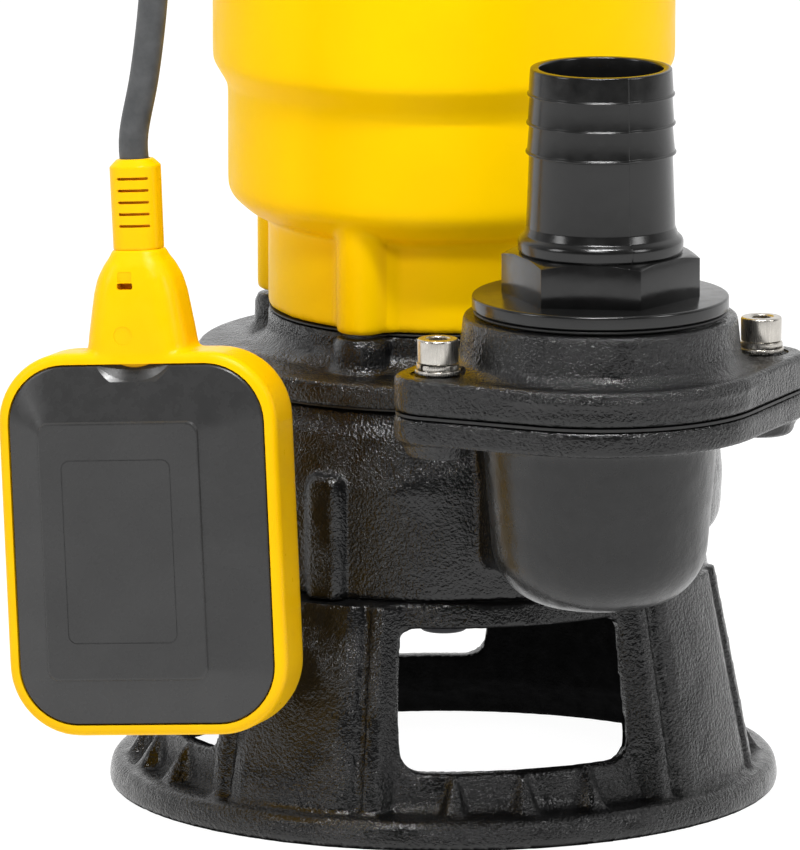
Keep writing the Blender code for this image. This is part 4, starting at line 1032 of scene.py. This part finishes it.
def make_glands():
    for prefix, turn in (("float", FLOAT_GLAND_ANGLE), ("power", POWER_GLAND_ANGLE)):
        body = soft([
            (5.2, TURRET_R - 8, 0.2), (7, TURRET_R - 8, 0.5), (7, TURRET_R + 1.2, 0.1),
            (8.4, TURRET_R + 1.2, 0.2), (8.4, TURRET_R + 15, 0.3), (5.2, TURRET_R + 15, 0.2),
        ], 3)
        collar = scratch("collar", [prism(hexagon(20, 30), TURRET_R + 1.2, TURRET_R + 7)])
        barrel = [(0, 0), (10.9, 0), (11.6, 2), (11.6, 6), (10.9, 8), (0, 8)]
        boolean(collar, [turned([(radius, TURRET_R + z) for radius, z in barrel], 64)], "INTERSECT")
        boolean(collar, [drill(8, TURRET_R - 2, TURRET_R + 10, segments=64)])
        for node, parts in (("gland", [turned(body, 64), taken(collar)]), ("gland_nut", [gland_nut()])):
            for part in parts:
                part.transform(aimed(turn))
            piece(f"{prefix}_{node}_look", parts, BLACK_PLASTIC, f"{prefix}_{node}")
    inner, outer = TURRET_R + 2, TURRET_R + 23
    plug = turned(soft([(0, inner, 0), (4.9, inner, 0.4), (4.9, outer, 1.5), (0, outer + 0.4, 0)]), 48)
    plug.transform(aimed(POWER_GLAND_ANGLE))
    piece("power_gland_plug_look", [plug], BLACK_RUBBER, "power_gland_plug")


def gland_nut():
    """A clamping nut with a domed nose and twelve finger ribs."""
    tip, low, steps = TURRET_R + 24, TURRET_R + 7.3, 96
    rings = []
    barrel = [(low, 10.2, 0.5), (low + 0.6, 10.6, 1), (tip - 8, 10.6, 1)]
    nose = [(tip - 5, 10, 0.4), (tip - 2, 8.6, 0), (tip, 7, 0)]
    for z, radius, rib in barrel + nose:
        ring = []
        for step in range(steps):
            angle = 360 * step / steps
            wave = max(0, cos(radians(12 * angle))) ** 0.6
            ring.append(tuple(polar(radius - 0.8 * rib * (1 - wave), angle, z)))
        rings.append(ring)
    for z, radius in ((tip, 5.2), (low + 8, 5.2), (low + 7.9, 8.7), (low, 8.7)):
        rings.append([tuple(polar(radius, 360 * step / steps, z)) for step in range(steps)])
    rings.append(rings[0])
    return lofted(rings, caps=False)


# ---- suction side
def make_suction():
    low, top, rim = CASING_Z, CASING_Z + 7, 61.7
    rim_side = [(21, low, 1.5), (rim, low, 0.8), (rim, top, 0.8)]
    outline = soft(rim_side + [(27, top, 1), (21, top - 3, 1)])
    piece("suction_plate_look", [turned(outline)], RAW_IRON, "suction_plate")
    nut = scratch("cutter_nut_look", [prism(hexagon(19.6), 55, 66)])
    crown = soft([(0, 52.4, 0), (7.4, 52.4, 1.2), (11.6, 56.4, 0.8), (11.6, 64.8, 0.5), (0, 64.8, 0)])
    boolean(nut, [turned(crown, 96)], "INTERSECT")
    face = soft([(0, 64, 0), (11.7, 64, 0.3), (11.7, 68.1, 0.4), (0, 68.1, 0)])
    dome = soft([(0, 52.4, 0), (7.8, 52.4, 1.6), (9, 56, 0), (0, 56, 0)])
    nut = scratch("cutter_nut_look", [taken(nut), turned(face, 64), turned(dome, 64)])
    boolean(nut, [drill(5.9, 56, 75, segments=48)])
    place(nut, BLACKENED, "cutter_nut", body="rotor")
    blade = []
    for half in (0, 180):
        arm = arc((14, -1), 9, 250, 275, 4) + [(30, -5.5), (31.5, 2.5), (14, 8.5)]
        blade += [tuple((Matrix.Rotation(radians(half), 2) @ Vector(point))) for point in arm]
    knife = scratch("cutter_blade_look", [plate(blade, 68.4, 73.7, 0.8)])
    boolean(knife, [drill(5.9, 60, 80, segments=48)])
    place(knife, BLACKENED, "cutter_blade", body="rotor")


# ---- float switch
def float_outline(inset, depth, steps=12):
    outline = rounded_rectangle(FLOAT_W - 2 * inset, FLOAT_H - 2 * inset, FLOAT_CORNER - inset, steps)
    return [(x, depth, z) for x, z in outline]


def neck_ring(z, across, deep, corner):
    return [(x, y + NECK_Y, z) for x, y in rounded_rectangle(2 * across, 2 * deep, corner * deep, 8)]


def float_neck():
    """The yellow shoulders over the shell, narrowing in a bell curve to the cable boot."""
    sections = (
        (50, 18.2, 13.2), (64.5, 17.7, 13.2), (70.4, 16.9, 13), (77.2, 15.8, 12.7), (83.9, 14.7, 12.3),
        (89, 13.3, 11.7), (93.3, 11.1, 10.6), (95.9, 9.2, 9.3), (NECK_END_Z, 8.1, 8.1),
    )
    return lofted([neck_ring(z, across, deep, 0.62) for z, across, deep in sections])


def make_float():
    half = 0.5 * FLOAT_T
    turns = [radians(angle) for angle in range(0, 91, 15)]
    front, back = 2.6, FLOAT_BACK_R
    sections = [(front * (1 - sin(t)), -half + front * (1 - cos(t))) for t in turns]
    sections += [(back * (1 - cos(t)), half - back * (1 - sin(t))) for t in turns]
    parts = [lofted([float_outline(*section) for section in sections]), float_neck()]
    seat_depth, floor = 3 - half, half - 3.5
    cutters = [
        lofted([float_outline(SEAT_INSET, -half - 5), float_outline(SEAT_INSET, seat_depth)]),
        lofted([float_outline(7, -half - 6), float_outline(7, floor)]),
        drill(5.2, 50, 140, (0, NECK_Y), 48),
        moved(prism(rounded_rectangle(5.4, 2.2, 0.6), -3, 5), (-2.1, NECK_Y - 9, 86.6), (90, 0, 0)),
        moved(prism(rounded_rectangle(4.8, 3.4, 0.6), -0.2, 4), (-2.1, NECK_Y - 11.2, 89.6), (90, 0, 0)),
        moved(drill(3.15, 0, 4, segments=48), (-3.2, NECK_Y - 12.75, 70.1), (90, 0, 0)),
    ]
    shell = cast("float_shell_look", parts, 0.95, 4, cutters)
    place(shell, YELLOW_PLASTIC, "float_shell", home="float")
    make_cover(seat_depth)
    make_boot()


def make_cover(seat_depth):
    """A shallow off-centre pyramid with a flat panel, a thumb notch and a fine engraved frame."""
    back = seat_depth - 0.3
    face = back - 2.7
    panel_x, panel_z, rise = -5.3, -1.7, 4.6
    steps = 24
    panel = rounded_rectangle(55.3, 86, 4, steps)
    rings = [
        float_outline(COVER_INSET, back, steps),
        float_outline(COVER_INSET, face + 0.7, steps),
        float_outline(COVER_INSET + 0.2, face + 0.25, steps),
        float_outline(COVER_INSET + 0.7, face, steps),
    ]
    for grow, drop in ((0.7, 0.85), (0.1, 0.15), (-0.5, 0)):
        ring = [inward(point, Vector((0, 0)), -grow) for point in panel]
        rings.append([(x + panel_x, face - rise + drop, z + panel_z) for x, z in ring])
    cover = scratch("float_cover_look", [lofted(rings)])
    scoop = soft([(0, 1, 0), (18.4, 1, 0), (16.6, -0.6, 0.5), (9, -4.2, 2), (0, -4.2, 0)])
    scoop = [(radius, -height) for radius, height in scoop]
    notch = moved(turned(scoop, 128), (0, face, 71.5), (-90, 0, 0))
    outer, inner = rounded_rectangle(38.1, 61.8, 3), rounded_rectangle(37.4, 61.1, 2.7)
    groove = []
    bed, clear = face - rise + 0.22, face - 8
    for depth, outline in ((clear, outer), (bed, outer), (bed, inner), (clear, inner)):
        groove.append([(x + panel_x - 1, depth, z + panel_z) for x, z in outline])
    groove.append(groove[0])
    boolean(cover, [notch, lofted(groove, caps=False)])
    place(cover, GREY_PLASTIC, "float_cover", home="float", sharp=6)


def make_boot():
    """The cable's strain relief: a stout sleeve with a chamfered mouth and five flex slots."""
    low = NECK_END_Z - 0.2
    sections = ((low, 8), (low + 14, 8.05), (BOOT_TOP_Z - 2.4, 8.1), (BOOT_TOP_Z, 5.7))
    rings = [neck_ring(z, half, half, 0.72) for z, half in sections]
    cutters = [drill(5.2, low - 5, BOOT_TOP_Z + 5, (0, NECK_Y), 64)]
    for number in range(5):
        z = BOOT_TOP_Z - 6.3 - 3.96 * number
        for side in (-1, 1):
            for width, height, near in ((10.4, 0.95, 5.5), (14.2, 0.75, 7.5)):
                slot = rounded_rectangle(width, height, 0.35, 4)
                ends = [[(x + 1, NECK_Y + side * y, z + t) for x, t in slot] for y in (near, 12)]
                cutters.append(lofted(ends))
    boot = cast("float_boot_look", [lofted(rings)], 0.4, 3, cutters)
    place(boot, YELLOW_PLASTIC, "float_boot", home="float")


# ---- CAD nodes that stay
def finish_inner_nodes():
    """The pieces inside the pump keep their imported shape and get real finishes."""
    finishes = {
        "yellow_paint": YELLOW, "black_paint": ENAMEL, "black_plastic": BLACK_PLASTIC,
        "yellow_plastic": YELLOW_PLASTIC, "grey_plastic": GREY_PLASTIC, "stainless": STAINLESS,
        "steel": STEEL, "rubber": BLACK_RUBBER, "cable_rubber": CABLE_RUBBER, "lamination": LAMINATIONS,
        "copper": WINDINGS, "aluminium": ALUMINIUM, "carbon": CARBON, "cast_iron": RAW_IRON,
    }
    for node, obj in frame["nodes"].items():
        obj.data.materials.clear()
        obj.data.materials.append(finishes[SLOTS[node]])


make_camera()
make_cable()
make_stage()
make_base()
make_volute()
make_flange()
make_seals()
make_barb()
make_screws()
make_chamber()
make_housing()
make_cap()
make_handle()
make_glands()
make_suction()
make_float()
finish_inner_nodes()
